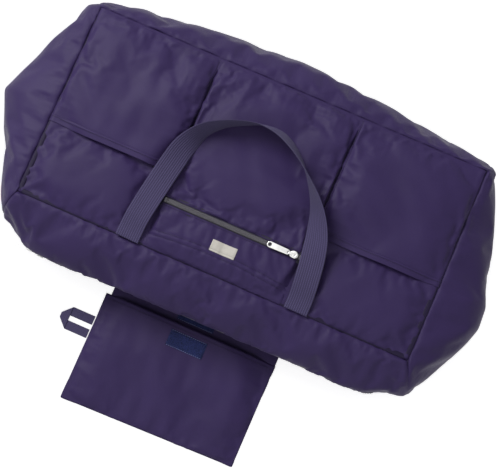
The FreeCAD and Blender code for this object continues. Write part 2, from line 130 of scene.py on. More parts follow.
class ToteColours(bpy.types.PropertyGroup):
    nylon: bpy.props.FloatVectorProperty(
        name="Nylon", description="Bag and pouch cloth", subtype="COLOR", default=(0.028, 0.0165, 0.069))
    webbing: bpy.props.FloatVectorProperty(
        name="Webbing", description="Handles", subtype="COLOR", default=(0.056, 0.046, 0.110))
    tape: bpy.props.FloatVectorProperty(
        name="Zip tape", description="Woven tape of both zips", subtype="COLOR",
        default=(0.030, 0.027, 0.044))
    coil: bpy.props.FloatVectorProperty(
        name="Zip coil", description="Coils of both zips", subtype="COLOR", default=(0.105, 0.10, 0.115))
    metal: bpy.props.FloatVectorProperty(
        name="Zip metal", description="Sliders and pulls", subtype="COLOR", default=(0.93, 0.93, 0.91))
    label: bpy.props.FloatVectorProperty(
        name="Label", description="Blank woven label", subtype="COLOR", default=(0.43, 0.41, 0.375))
    patch: bpy.props.FloatVectorProperty(
        name="Hook and loop", description="Closing patches", subtype="COLOR", default=(0.018, 0.026, 0.105))
    patch_thread: bpy.props.FloatVectorProperty(
        name="Patch thread", description="Thread around the closing patches", subtype="COLOR",
        default=(0.26, 0.28, 0.52))


def sizes():
    return bpy.context.scene.tote_sizes


def colours():
    return bpy.context.scene.tote_colours


# ---------------------------------------------------------------- small numpy tools
def smooth(t):
    """0 to 1 with level ends: three t squared minus two t cubed, held to 0 and 1 outside."""
    t = np.clip(t, 0, 1)
    return t * t * (3 - 2 * t)


def ramp(distance, width):
    """0 at a seam, rising smoothly to 1 at the width."""
    return smooth(distance / width)


def ripple(seed, *axes, octaves=3):
    """Soft noise from -1 to 1 over two axes: a sum of sines, directions and phases from the seed.

    Each axis is already divided by the size of a ripple. Each octave doubles in pace and halves, and
    each sine's phase wanders with the distance along its own crest.
    """
    rng = np.random.default_rng(seed)
    total = 0.0
    for octave in range(octaves):
        pace = 2.0**octave
        for _ in range(4):
            ways = rng.normal(size=len(axes))
            ways = ways / np.linalg.norm(ways)
            phase, bend = rng.uniform(0, 2 * np.pi, 2)
            across = sum(w * a for w, a in zip(ways, axes))
            along = sum(w * a for w, a in zip(ways[::-1] * (1, -1), axes))
            wander = 0.9 * np.sin(0.8 * np.pi * along + bend)
            total = total + np.sin(2 * np.pi * pace * across + phase + wander) / pace
    return total / 4.5


def refined(points, times):
    """A grid of points made finer by a smooth cubic through its points, along both of its axes."""
    for axis in (0, 1):
        p = np.moveaxis(points, axis, 0)
        n = len(p)
        t = np.linspace(0, n - 1, (n - 1) * times + 1)
        i = np.minimum(t.astype(int), n - 2)
        f = (t - i)[(...,) + (None,) * (p.ndim - 1)]
        before = np.concatenate([2 * p[:1] - p[1:2], p])[i]
        a, b = p[i], p[i + 1]
        after = np.concatenate([p, 2 * p[-1:] - p[-2:-1]])[i + 2]
        p = 0.5 * (2 * a + (b - before) * f + (2 * before - 5 * a + 4 * b - after) * f**2
                   + (3 * a - before - 3 * b + after) * f**3)
        points = np.moveaxis(p, 0, axis)
    return points


def grid_normals(points):
    """Unit normals of a grid: the cross product of its two directions' central differences."""
    return unit(np.cross(np.gradient(points, axis=0), np.gradient(points, axis=1)), 1e-12)


def unit(vectors, least=0.0):
    """Vectors made one long, along their last axis."""
    return vectors / np.maximum(np.linalg.norm(vectors, axis=-1, keepdims=True), least)


def walked(path):
    """Distance walked along a path, starting at 0."""
    return np.concatenate([[0.0], np.cumsum(np.linalg.norm(np.diff(path, axis=0), axis=1))])


def arc_lengths(points, axis):
    """Mean distance walked along one axis of a grid, starting at 0."""
    steps = np.linalg.norm(np.diff(points, axis=axis), axis=-1).mean(1 - axis)
    return np.concatenate([[0.0], np.cumsum(steps)])


def both_ways(points):
    """Distances along a grid's rows and along its columns, at each of its points."""
    return np.meshgrid(arc_lengths(points, 0), arc_lengths(points, 1), indexing="ij")


# ---------------------------------------------------------------- meshes
def mesh_object(name, verts, faces, material, uv=None):
    """One object at the origin from an array of points and an array of faces."""
    mesh = bpy.data.meshes.new(name)
    corners = [[int(corner) for corner in face] for face in faces]
    mesh.from_pydata(np.asarray(verts).tolist(), [], corners)
    if uv is not None:
        layer = mesh.uv_layers.new(name="cloth")
        corner = np.zeros(len(mesh.loops), np.int32)
        mesh.loops.foreach_get("vertex_index", corner)
        layer.data.foreach_set("uv", np.asarray(uv, np.float32)[corner].ravel())
    mesh.polygons.foreach_set("use_smooth", np.ones(len(mesh.polygons), bool))
    mesh.update()
    piece = bpy.data.objects.new(name, mesh)
    bpy.context.scene.collection.objects.link(piece)
    mesh.materials.append(material)
    return piece


def grid_faces(rows, columns, wrap_rows=False, wrap_columns=False):
    """Quads of a grid stored row by row, closed on itself along either axis if asked."""
    i, j = np.meshgrid(
        np.arange(rows if wrap_rows else rows - 1),
        np.arange(columns if wrap_columns else columns - 1), indexing="ij",
    )
    i, j = i.ravel(), j.ravel()
    i2, j2 = (i + 1) % rows, (j + 1) % columns
    return np.stack([i * columns + j, i2 * columns + j, i2 * columns + j2, i * columns + j2], 1)


def grid_object(name, points, material, wrap_rows=False, wrap_columns=False, uv=None):
    """A surface from a grid of points. Its own coordinates are distances along the grid, in metres."""
    rows, columns = points.shape[:2]
    if uv is None:
        uv = np.stack(both_ways(points), -1)
    faces = grid_faces(rows, columns, wrap_rows, wrap_columns)
    return mesh_object(name, points.reshape(-1, 3), faces, material, np.reshape(uv, (-1, 2)))


def joined(name, parts, material):
    """One object from several (points, faces) pairs."""
    verts, faces, start = [], [], 0
    for points, quads in parts:
        points = np.asarray(points).reshape(-1, 3)
        verts.append(points)
        faces.extend([int(corner) + start for corner in face] for face in quads)
        start += len(points)
    return mesh_object(name, np.concatenate(verts), faces, material)


def thickened(piece, thickness):
    """Gives a sheet its thickness, inwards."""
    solid = piece.modifiers.new("cloth thickness", "SOLIDIFY")
    solid.thickness, solid.offset = thickness, -1.0


def tube(path, radius, sides=10, closed=False):
    """Points and faces of a round bar: a ring of the radius carried along the path.

    The rings stand square to the path, turned as little as they can from one to the next, and an
    open bar ends in a small dome.
    """
    path = np.asarray(path, float)
    n = len(path)
    if closed:
        along = np.roll(path, -1, 0) - np.roll(path, 1, 0)
    else:
        along = np.gradient(path, axis=0)
    along = unit(along)
    spare = np.eye(3)[np.argmin(np.abs(along).sum(0))]
    side = unit(np.cross(along, spare))
    other = np.cross(along, side)
    turn = np.linspace(0, 2 * np.pi, sides, endpoint=False)
    radii = np.broadcast_to(np.asarray(radius, float), (n,)).copy()
    c, s = np.cos(turn)[None, :, None], np.sin(turn)[None, :, None]
    ring = c * side[:, None] + s * other[:, None]
    points = path[:, None] + ring * radii[:, None, None]
    if closed:
        return points, grid_faces(n, sides, True, True)
    tip_a = path[0] - along[0] * radii[0] * 0.6 + ring[0] * radii[0] * 0.3
    tip_b = path[-1] + along[-1] * radii[-1] * 0.6 + ring[-1] * radii[-1] * 0.3
    points = np.concatenate([tip_a[None], points, tip_b[None]])
    faces = grid_faces(n + 2, sides, False, True).tolist()
    faces.append(list(range(sides)))
    faces.append(list(range((n + 1) * sides, (n + 2) * sides))[::-1])
    return points, faces


# ---------------------------------------------------------------- stitching
STITCH_GAP = 0.35           # share of a stitch's pitch that is under the cloth
STITCH_RINGS, STITCH_SIDES = 5, 6


def stitch_solids(path, normals, length, thick):
    """Points and faces of a row of stitches: short bars laid end to end along the path.

    Each stitch is a six-sided bar, swollen at its middle and dipping into the cloth at both ends.
    """
    path = np.asarray(path, float)
    run = walked(path)
    count = max(int(run[-1] // length), 1)
    pitch = run[-1] / count
    shares = np.linspace(0, 1 - STITCH_GAP, STITCH_RINGS)
    at = (np.arange(count)[:, None] + STITCH_GAP / 2 + shares[None]) * pitch
    middle, up = (np.stack([np.interp(at, run, values[:, k]) for k in range(3)], -1)
                  for values in (path, normals))
    up = unit(up)
    side = unit(np.cross(unit(np.gradient(middle, axis=1)), up), 1e-9)
    swell = np.sin(np.pi * (0.08 + 0.84 * np.linspace(0, 1, STITCH_RINGS)))
    middle = middle + up * ((swell - 0.45) * thick * 0.5)[None, :, None]
    turn = np.linspace(0, 2 * np.pi, STITCH_SIDES, endpoint=False)
    ring = np.cos(turn)[:, None] * side[:, :, None] + np.sin(turn)[:, None] * up[:, :, None]
    points = middle[:, :, None] + ring * (0.5 * thick * (0.45 + 0.55 * swell))[None, :, None, None]
    size = STITCH_RINGS * STITCH_SIDES
    starts = np.arange(count) * size
    one = grid_faces(STITCH_RINGS, STITCH_SIDES, wrap_columns=True)
    faces = (one[None] + starts[:, None, None]).reshape(-1, 4).tolist()
    for start in starts.tolist():
        faces.append(list(range(start, start + STITCH_SIDES)))
        faces.append(list(range(start + size - STITCH_SIDES, start + size))[::-1])
    return points.reshape(-1, 3), faces


def along_grid(points, rows, columns):
    """Points and normals on a grid at fractional rows and columns, straight between its points."""
    normals = grid_normals(points)
    rows = np.clip(rows, 0, points.shape[0] - 1.001)
    columns = np.clip(columns, 0, points.shape[1] - 1.001)
    i, j = rows.astype(int), columns.astype(int)
    f, g = (rows - i)[:, None], (columns - j)[:, None]

    def mixed(values):
        return (values[i, j] * (1 - f) * (1 - g) + values[i + 1, j] * f * (1 - g)
                + values[i, j + 1] * (1 - f) * g + values[i + 1, j + 1] * f * g)

    return mixed(points), unit(mixed(normals))


def row_of_stitches(points, rows, columns, thick=None):
    """Stitches on a grid, between places given as shares of its rows and columns."""
    share = np.linspace(0, 1, 160)
    rows, columns = (
        np.interp(share, np.linspace(0, 1, len(values)), values) * (points.shape[axis] - 1)
        for axis, values in enumerate((rows, columns)))
    path, normals = along_grid(points, rows, columns)
    thick = thick or sizes().thread
    return stitch_solids(path + normals * thick * 0.25, normals, sizes().stitch, thick)


# ---------------------------------------------------------------- cloth
def settled(points, held, slack, pressure=0.0, stiff=0.6, frames=18, cap=10 * MM):
    """The grid after a short cloth simulation: held points stay, the cloth grows by the slack.

    Growing cloth between fixed seams buckles into the soft folds that sewn nylon has. A point that
    moved by d ends up cap times the hyperbolic tangent of d over cap from where it started.
    """
    rows, columns = points.shape[:2]
    mesh = bpy.data.meshes.new("settling")
    mesh.from_pydata(points.reshape(-1, 3).tolist(), [], grid_faces(rows, columns).tolist())
    trial = bpy.data.objects.new("settling", mesh)
    bpy.context.scene.collection.objects.link(trial)
    pins = trial.vertex_groups.new(name="seams")
    for weight in np.unique(held):
        if weight > 0:
            pins.add(np.flatnonzero(held.ravel() == weight).tolist(), float(weight), "REPLACE")
    cloth = trial.modifiers.new("cloth", "CLOTH").settings
    cloth.vertex_group_mass = "seams"
    cloth.quality = 6
    cloth.mass = 0.15
    cloth.tension_stiffness = cloth.compression_stiffness = 12
    cloth.shear_stiffness = 6
    cloth.bending_stiffness = stiff
    cloth.air_damping = 3
    cloth.tension_damping = cloth.compression_damping = 8
    cloth.shrink_min = -slack
    cloth.use_pressure = pressure != 0
    cloth.uniform_pressure_force = pressure
    cloth.effector_weights.gravity = 0.0
    scene = bpy.context.scene
    trial.modifiers["cloth"].point_cache.frame_end = frames + 2
    for frame_number in range(1, frames + 1):
        scene.frame_set(frame_number)
    depsgraph = bpy.context.evaluated_depsgraph_get()
    done = trial.evaluated_get(depsgraph).data
    out = np.zeros(len(done.vertices) * 3)
    done.vertices.foreach_get("co", out)
    scene.frame_set(1)
    bpy.data.objects.remove(trial)
    bpy.data.meshes.remove(mesh)
    moved = out.reshape(points.shape) - points
    far = np.linalg.norm(moved, axis=-1, keepdims=True)
    return points + moved * cap * np.tanh(far / cap) / np.maximum(far, 1e-9)


def puckered(points, edges, height, seed, reach=9 * MM, groove=1.9 * MM, groove_reach=2.3 * MM):
    """Small ripples square to the seams, and a groove along them.

    edges names the grid's sewn sides: low or high row or column. With d the distance from a seam, the
    ripples fade as d over the reach times e to the one less that, and the groove as e to minus d over
    its reach, squared.
    """
    u, v = both_ways(points)
    lift = 0.0
    for k, edge in enumerate(edges):
        along, away = {
            "low row": (v, u), "high row": (v, u.max() - u), "low column": (u, v),
            "high column": (u, v.max() - v),
        }[edge]
        fade = away / reach * np.exp(1 - away / reach)
        broad = ripple(seed + k, along / (13 * MM), away / (60 * MM), octaves=2)
        fine = ripple(seed + 20 + k, along / (6 * MM), away / (30 * MM), octaves=1)
        lift = lift + height * fade * (0.7 * broad + 0.5 * fine)
        lift = lift - groove * np.exp(-(away / groove_reach) ** 2)
    return points + grid_normals(points) * lift[..., None]


def reach_along(node, axis):
    """How far a gusset stands out at its widest, read from its solid.

    Returns shares along the side from 0 to 1 and the outermost (x, y) points at mid height. At each
    end it is the tip of the corner seam, the point that lies furthest past the panel's corner.
    """
    co = np.array([v.co for v in frame["nodes"][node].data.vertices], float)
    co = co[np.abs(co[:, 2] - MID_Z) < 0.3 * MM]
    ends = (LEFT, RIGHT) if axis == 0 else (MOUTH, BASE)
    share = ((co[:, axis] - ends[0]) / (ends[1] - ends[0])).round(3)
    tips = [np.argmin(share), np.argmax(share)]
    far = np.abs(co[:, 1 - axis] - ((MOUTH + BASE) / 2, (LEFT + RIGHT) / 2)[axis])
    between = [s for s in np.unique(share) if 0.001 < s < 0.999]
    keep = [np.flatnonzero(share == s)[np.argmax(far[share == s])] for s in between]
    keep = [tips[0], *keep, tips[1]]
    return np.clip(share[keep], 0, 1), co[keep, :2]


# ---------------------------------------------------------------- shader groups and materials
def new_group(name, inputs, outputs):
    """An empty shader group with its sockets: (kind, name, default) in and (kind, name) out."""
    group = bpy.data.node_groups.new(name, "ShaderNodeTree")
    for kind, label, default in inputs:
        socket = group.interface.new_socket(label, in_out="INPUT", socket_type=kind)
        if default is not None:
            socket.default_value = default
    for kind, label in outputs:
        group.interface.new_socket(label, in_out="OUTPUT", socket_type=kind)
    return group, group.nodes.new("NodeGroupInput").outputs, group.nodes.new("NodeGroupOutput").inputs


def math(tree, operation, *values):
    """One Math node; each value is a number or a socket."""
    node = tree.nodes.new("ShaderNodeMath")
    node.operation = operation
    for socket, value in zip(node.inputs, values):
        if isinstance(value, bpy.types.NodeSocket):
            tree.links.new(value, socket)
        else:
            socket.default_value = value
    return node.outputs[0]


def woven_group():
    """Threads seen from above: ridges along the cloth, each broken into floats along its length.

    With a and b the two cloth distances over their pitches, a ridge is the sine of pi times the part
    of b past its whole number, and its floats are a sine of a, moved on by the shift at each ridge.
    """
    group, given, out = new_group(
        "Woven threads",
        [("NodeSocketVector", "Cloth", None), ("NodeSocketFloat", "Pitch along", 0.5 * MM),
         ("NodeSocketFloat", "Pitch across", 0.5 * MM), ("NodeSocketFloat", "Shift", 0.5)],
        [("NodeSocketFloat", "Height"), ("NodeSocketFloat", "Valley")],
    )
    axes = group.nodes.new("ShaderNodeSeparateXYZ")
    group.links.new(given["Cloth"], axes.inputs[0])
    a = math(group, "DIVIDE", axes.outputs["X"], given["Pitch along"])
    b = math(group, "DIVIDE", axes.outputs["Y"], given["Pitch across"])
    ridge = math(group, "SINE", math(group, "MULTIPLY", math(group, "FRACT", b), np.pi))
    moved = math(group, "ADD", a, math(group, "MULTIPLY", math(group, "FLOOR", b), given["Shift"]))
    floats = math(group, "SINE", math(group, "MULTIPLY", moved, 2 * np.pi))
    height = math(group, "MULTIPLY", ridge, math(group, "MULTIPLY_ADD", floats, 0.3, 0.7))
    group.links.new(height, out["Height"])
    # The valley, one less the height, is where the colour is darkened as painted shade between the threads.
    group.links.new(math(group, "SUBTRACT", 1.0, height), out["Valley"])
    return group


def dye_and_shade_group():
    """Dye by broad and by fine noise, and painted shade that darkens the colour in the valleys."""
    group, given, out = new_group(
        "Uneven dye",
        [("NodeSocketColor", "Colour", (0.5, 0.5, 0.5, 1)), ("NodeSocketFloat", "Amount", 0.1),
         ("NodeSocketFloat", "Valley", 0.0), ("NodeSocketFloat", "Valley depth", 0.3)],
        [("NodeSocketColor", "Colour"), ("NodeSocketFloat", "Mask")],
    )
    place = group.nodes.new("ShaderNodeTexCoord").outputs["Object"]
    noises = []
    for scale, detail in ((18.0, 3.0), (420.0, 2.0)):
        noise = group.nodes.new("ShaderNodeTexNoise")
        noise.inputs["Scale"].default_value = scale
        noise.inputs["Detail"].default_value = detail
        group.links.new(place, noise.inputs["Vector"])
        noises.append(math(group, "SUBTRACT", noise.outputs["Fac"], 0.5))
    mask = math(group, "ADD", math(group, "MULTIPLY", noises[0], 1.6), noises[1])
    gain = math(group, "MULTIPLY_ADD", mask, given["Amount"], 1.0)
    # Painted shade: the colour darkened where the valley mask is high, by the depth given.
    dark = math(group, "SUBTRACT", 1.0, math(group, "MULTIPLY", given["Valley"], given["Valley depth"]))
    scaled = group.nodes.new("ShaderNodeVectorMath")
    scaled.operation = "SCALE"
    group.links.new(given["Colour"], scaled.inputs[0])
    group.links.new(math(group, "MULTIPLY", gain, dark), scaled.inputs["Scale"])
    group.links.new(scaled.outputs[0], out["Colour"])
    group.links.new(mask, out["Mask"])
    return group


def worn_group():
    """Handling marks on metal: fine scratches and smudges as a roughness and a height."""
    group, given, out = new_group(
        "Handled metal",
        [("NodeSocketFloat", "Base roughness", 0.25), ("NodeSocketFloat", "Spread", 0.2)],
        [("NodeSocketFloat", "Roughness"), ("NodeSocketFloat", "Height")],
    )
    place = group.nodes.new("ShaderNodeTexCoord").outputs["Object"]
    stretch = group.nodes.new("ShaderNodeMapping")
    stretch.inputs["Scale"].default_value = (300, 1600, 900)
    group.links.new(place, stretch.inputs["Vector"])
    smudge = group.nodes.new("ShaderNodeTexNoise")
    smudge.inputs["Scale"].default_value = 260
    group.links.new(place, smudge.inputs["Vector"])
    scratch = group.nodes.new("ShaderNodeTexNoise")
    scratch.inputs["Scale"].default_value = 1.0
    scratch.inputs["Detail"].default_value = 4
    group.links.new(stretch.outputs[0], scratch.inputs["Vector"])
    rough = math(group, "MULTIPLY_ADD", smudge.outputs["Fac"], given["Spread"], given["Base roughness"])
    group.links.new(rough, out["Roughness"])
    group.links.new(scratch.outputs["Fac"], out["Height"])
    return group


def place_group(tree, group, values):
    """A group in a material, with its sockets set or linked."""
    node = tree.nodes.new("ShaderNodeGroup")
    node.node_tree = group
    for name, value in values.items():
        if isinstance(value, bpy.types.NodeSocket):
            tree.links.new(value, node.inputs[name])
        else:
            node.inputs[name].default_value = value
    return node.outputs


def shader(name):
    """A new material: (material, its tree, its Principled shader)."""
    material = bpy.data.materials.new(name)
    material.use_nodes = True
    return material, material.node_tree, material.node_tree.nodes["Principled BSDF"]


def bumped(tree, bsdf, height, strength, distance):
    bump = tree.nodes.new("ShaderNodeBump")
    bump.inputs["Strength"].default_value = strength
    bump.inputs["Distance"].default_value = distance
    tree.links.new(height, bump.inputs["Height"])
    tree.links.new(bump.outputs[0], bsdf.inputs["Normal"])


def cloth_material(name, colour, along, across, shift, groups, depth=0.35, rough=0.5, sheen=0.03,
                   dye=0.16, bump=0.12 * MM, sheen_rough=0.45):
    """Woven cloth: threads from the surface's own distances, uneven dye with painted shade in the
    threads' valleys, and a soft sheen.
    """
    material, tree, bsdf = shader(name)
    cloth = tree.nodes.new("ShaderNodeUVMap")
    cloth.uv_map = "cloth"
    threads = place_group(tree, groups["woven"], {
        "Cloth": cloth.outputs[0], "Pitch along": along, "Pitch across": across, "Shift": shift})
    # The threads' valleys are darkened by the depth: painted shade between the threads.
    dyed = place_group(tree, groups["dye"], {
        "Colour": (*colour, 1), "Amount": dye, "Valley": threads["Valley"], "Valley depth": depth})
    tree.links.new(dyed["Colour"], bsdf.inputs["Base Color"])
    tree.links.new(math(tree, "MULTIPLY_ADD", dyed["Mask"], 0.08, rough), bsdf.inputs["Roughness"])
    bsdf.inputs["Sheen Weight"].default_value = sheen
    bsdf.inputs["Sheen Roughness"].default_value = sheen_rough
    bsdf.inputs["Specular IOR Level"].default_value = 0.13
    bumped(tree, bsdf, threads["Height"], 0.5, bump)
    return material


def plain_material(name, colour, groups, rough=0.5, metallic=0.0, spread=0.2, bump=0.02 * MM):
    """Moulded or cast parts: smudged roughness and fine scratches."""
    material, tree, bsdf = shader(name)
    worn = place_group(tree, groups["worn"], {"Base roughness": rough, "Spread": spread})
    dyed = place_group(tree, groups["dye"], {"Colour": (*colour, 1), "Amount": 0.08})
    tree.links.new(dyed["Colour"], bsdf.inputs["Base Color"])
    tree.links.new(worn["Roughness"], bsdf.inputs["Roughness"])
    bsdf.inputs["Metallic"].default_value = metallic
    bumped(tree, bsdf, worn["Height"], 0.4, bump)
    return material


def pile_material(name, colour, groups, scale):
    """Hook and loop: a dense pile, with painted shade between its tufts."""
    material, tree, bsdf = shader(name)
    place = tree.nodes.new("ShaderNodeTexCoord").outputs["Object"]
    tufts = tree.nodes.new("ShaderNodeTexVoronoi")
    tufts.inputs["Scale"].default_value = scale
    tree.links.new(place, tufts.inputs["Vector"])
    fuzz = tree.nodes.new("ShaderNodeTexNoise")
    fuzz.inputs["Scale"].default_value = scale * 0.6
    fuzz.inputs["Detail"].default_value = 5
    tree.links.new(place, fuzz.inputs["Vector"])
    height = math(tree, "SUBTRACT", fuzz.outputs["Fac"], tufts.outputs["Distance"])
    # Painted shade: the colour darkened between the tufts.
    dyed = place_group(tree, groups["dye"], {
        "Colour": (*colour, 1), "Amount": 0.7, "Valley": tufts.outputs["Distance"], "Valley depth": 0.8})
    tree.links.new(dyed["Colour"], bsdf.inputs["Base Color"])
    bsdf.inputs["Roughness"].default_value = 0.9
    bsdf.inputs["Sheen Weight"].default_value = 0.08
    bsdf.inputs["Specular IOR Level"].default_value = 0.15
    bumped(tree, bsdf, height, 0.9, 0.5 * MM)
    return material


def make_materials():
    """All materials, made once and found again by their names."""
    # The dye group gives uneven dye and also paints shade into the valleys of the cloth and the pile.
    groups = {"woven": woven_group(), "dye": dye_and_shade_group(), "worn": worn_group()}
    c = colours()
    # Thread and seam binding: the nylon's colour at 0.4, partly a darker thread and partly painted shade
    # along the seams.
    thread = tuple(v * 0.4 for v in c.nylon)
    return {
        "nylon": cloth_material("Nylon", c.nylon, 0.55 * MM, 0.55 * MM, 0.5, groups),
        "webbing": cloth_material("Handle webbing", c.webbing, 2.0 * MM, 28 / 11 * MM, 0.5, groups,
                                  depth=0.55, rough=0.7, sheen=0.05, bump=0.6 * MM),
        "narrow": cloth_material("Narrow tape", c.webbing, 1.2 * MM, 0.9 * MM, 0.5, groups,
                                 depth=0.6, rough=0.65, bump=0.3 * MM),
        "binding": cloth_material("Seam binding", thread, 0.9 * MM, 0.7 * MM, 0.5, groups),
        "zip tape": cloth_material("Zip tape", c.tape, 0.8 * MM, 0.6 * MM, 0.5, groups, rough=0.75),
        "label": cloth_material("Woven label", c.label, 0.6 * MM, 0.45 * MM, 0.5, groups, depth=0.25,
                                rough=0.7, sheen=0.1, dye=0.12),
        "thread": cloth_material("Sewing thread", thread, 0.5 * MM, 0.2 * MM, 0.5, groups, rough=0.5),
        "patch thread": cloth_material("Patch thread", c.patch_thread, 0.5 * MM, 0.2 * MM, 0.5, groups),
        "loop pile": pile_material("Loop pile", c.patch, groups, 900.0),
        "hook pile": pile_material("Hook pile", c.patch, groups, 700.0),
        "coil": plain_material("Zip coil", c.coil, groups, rough=0.45, spread=0.15),
        "metal": plain_material("Zip metal", c.metal, groups, rough=0.28, metallic=1.0),
    }


MATERIALS = {}


def declare(piece, body, replaces=(), blend=None):
    """Parents the piece to its body, or with a blend bakes its transform in, and hides the nodes it
    replaces.
    """
    if blend:
        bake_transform(piece)
    else:
        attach(piece, body)
    if replaces:
        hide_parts(*replaces)
    return piece


def cloth_piece(name, points, times=2, sewn=(), pucker=None, seed=0,
                lowest=None):
    """A sheet of the bag's cloth from its settled grid: made finer, puckered and given thickness.

    Nothing of its face lies under the lowest height, if one is given. Returns the piece and its
    final grid, which stitches are laid on.
    """
    fine = refined(points, times)
    if sewn:
        fine = puckered(fine, sewn, pucker or sizes().pucker, seed)
    if lowest is not None:
        fine[..., 2] = np.maximum(fine[..., 2], lowest)
    piece = grid_object(name, fine, MATERIALS["nylon"])
    thickened(piece, sizes().cloth)
    return piece, fine


# ---------------------------------------------------------------- the bag's body
SEAM_Z = FRONT_TOP - 0.6 * MM
BACK_SEAM_Z = BACK_UNDER + 0.6 * MM
RING_Z = (SEAM_Z + BACK_SEAM_Z) / 2
RING_H = (SEAM_Z - BACK_SEAM_Z) / 2
SAG = 3.0 * MM
ALL_ROUND = ("low row", "high row", "low column", "high column")
SIDES = {
    "base": ("base_gusset", 0, (LEFT, BASE), (RIGHT, BASE)),
    "left": ("left_end_gusset", 1, (LEFT, MOUTH), (LEFT, BASE)),
    "right": ("right_end_gusset", 1, (RIGHT, MOUTH), (RIGHT, BASE)),
    "mouth": ("mouth_gusset_ends", 0, (LEFT, MOUTH), (RIGHT, MOUTH)),
}
# Where the cloth stands out a little more or less than its solid: share of the side, spread, distance.
BULGES = {
    "base": (0.45, 0.35, 4.5 * MM),
    "left": (0.84, 0.22, 12.0 * MM),
    "right": (0.5, 0.28, -5.0 * MM),
    "mouth": (0.7, 0.45, -3.5 * MM),
}


def reach_vectors(side, shares):
    """From points on the panels' edge to the bag's outline, softened so that no station shows.

    The solid's stations are joined by straight lines, then averaged over some 10 mm either way,
    less near the corners, which keep their place.
    """
    node, axis, start, end = SIDES[side]
    at, outline = reach_along(node, axis)
    start, end = np.array(start), np.array(end)
    fine = np.linspace(0, 1, 241)
    reach = np.stack([np.interp(fine, at, outline[:, k]) for k in (0, 1)], 1)
    reach -= start + (end - start) * fine[:, None]
    wide = 7
    kernel = np.hanning(2 * wide + 1)
    kernel /= kernel.sum()
    padded = np.concatenate([2 * reach[:1] - reach[wide:0:-1], reach,
                             2 * reach[-1:] - reach[-2:-wide - 2:-1]])
    soft = np.stack([np.convolve(padded[:, k], kernel, "valid") for k in (0, 1)], 1)
    inside = smooth(np.minimum(fine, 1 - fine) / 0.04)[:, None]
    at_bulge, spread, height = BULGES[side]
    soft = soft + unit(soft) * (height * np.exp(-(((fine - at_bulge) / spread) ** 2)))[:, None]
    reach = reach * (1 - inside) + soft * inside
    return np.stack([np.interp(shares, fine, reach[:, k]) for k in (0, 1)], 1)


def gusset_grid(side, shares, low_angle, high_angle, rows):
    """Half an ellipse at each share of a side, from the back seam to the front one, with a little sag.

    Out = the reach times the cosine of the angle; up = the middle plus half the height times its sine,
    less the sag times the cosine squared. The angles may differ from share to share.
    """
    node, axis, start, end = SIDES[side]
    start, end = np.array(start), np.array(end)
    edge = start + (end - start) * shares[:, None]
    reach = reach_vectors(side, shares)
    t = np.linspace(0, 1, rows)[None]
    angle = np.asarray(low_angle)[..., None] * (1 - t) + np.asarray(high_angle)[..., None] * t
    angle = np.broadcast_to(angle, (len(shares), rows))
    out = np.cos(angle)
    xy = edge[:, None] + reach[:, None] * out[..., None]
    z = RING_Z + RING_H * np.sin(angle) - SAG * out**2
    points = np.concatenate([xy, z[..., None]], -1)
    middle = np.array([(LEFT + RIGHT) / 2, (MOUTH + BASE) / 2, RING_Z])
    if (grid_normals(points) * (points - middle)).sum() < 0:
        points = points[::-1]
    return points


def edges_held(points, low_column=1.0, high_column=1.0):
    """Pin weights of a grid that is sewn at its first and last rows, and at its columns unless 0."""
    held = np.zeros(points.shape[:2])
    held[0], held[-1] = 1.0, 1.0
    held[:, 0] = np.maximum(held[:, 0], low_column)
    held[:, -1] = np.maximum(held[:, -1], high_column)
    return held


def loose(points, seed, height, size):
    """Starts the folds: the grid pushed in and out along its normals by soft noise, none at its edges."""
    u, v = both_ways(points)
    inside = ramp(np.minimum(u, u.max() - u), 12 * MM) * ramp(np.minimum(v, v.max() - v), 12 * MM)
    lift = height * inside * ripple(seed, u / size, v / size)
    return points + grid_normals(points) * lift[..., None]


def whole_gusset(side, name, seed, count):
    """One whole gusset, from seam to seam."""
    points = gusset_grid(side, np.linspace(0, 1, count), -np.pi / 2, np.pi / 2, 29)
    points = loose(points, seed, 2.0 * MM, 110 * MM)
    points = settled(points, edges_held(points), sizes().puff * 0.25, pressure=0.8, stiff=3.0, cap=5 * MM)
    points[..., 2] = np.maximum(points[..., 2], 0.5 * MM)
    piece, _ = cloth_piece(name, points, sewn=ALL_ROUND, seed=seed)
    declare(piece, "bag", [SIDES[side][0]])


def build_gussets():
    whole_gusset("base", "base_gusset_cloth", 11, 111)
    whole_gusset("left", "left_end_cloth", 12, 61)
    whole_gusset("right", "right_end_cloth", 13, 61)


LIP_LOW = float(low("mouth_gusset_front")[2])
LIP_DROOP = 11 * MM


def mouth_angles(shares):
    """Angle at which the mouth's cloth meets the zip: the zip's own, closing to none past its ends."""
    open_angle = np.arcsin((LIP_LOW - MID_Z) / HALF_H)
    zip_end = (high("main_zip_tape")[0] - low("main_zip_tape")[0]) / 2 / (RIGHT - LEFT)
    past = np.abs(shares - 0.5) - zip_end + 0.008
    return open_angle * (1 - smooth(past / 0.025))


def double_cloth(name, points, normals, sewn_row):
    """A sheet with its thickness in its mesh and its normals given, so that two halves meet unseen.

    The grid runs up the outer face and back down the inner one. The sewn row is closed, and the
    other end is left open where the next half goes on.
    """
    inner = points - normals * sizes().cloth
    both = np.concatenate([points, inner[:, ::-1]], axis=1)
    rows, columns = both.shape[:2]
    uv = np.stack(np.meshgrid(arc_lengths(points, 0), arc_lengths(points, 1), indexing="ij"), -1)
    uv = np.concatenate([uv, uv[:, ::-1]], axis=1).reshape(-1, 2)
    j = np.arange(columns // 2 - 1)
    cap = np.stack([j, j + 1, columns - 2 - j, columns - 1 - j], 1)
    if sewn_row:
        cap = cap[:, ::-1] + (rows - 1) * columns
    faces = np.concatenate([grid_faces(rows, columns, wrap_columns=True), cap])
    piece = mesh_object(name, both.reshape(-1, 3), faces, MATERIALS["nylon"], uv)
    faced = np.concatenate([normals, -normals[:, ::-1]], axis=1).reshape(-1, 3)
    piece.data.normals_split_custom_set_from_vertices(faced.tolist())
    return piece


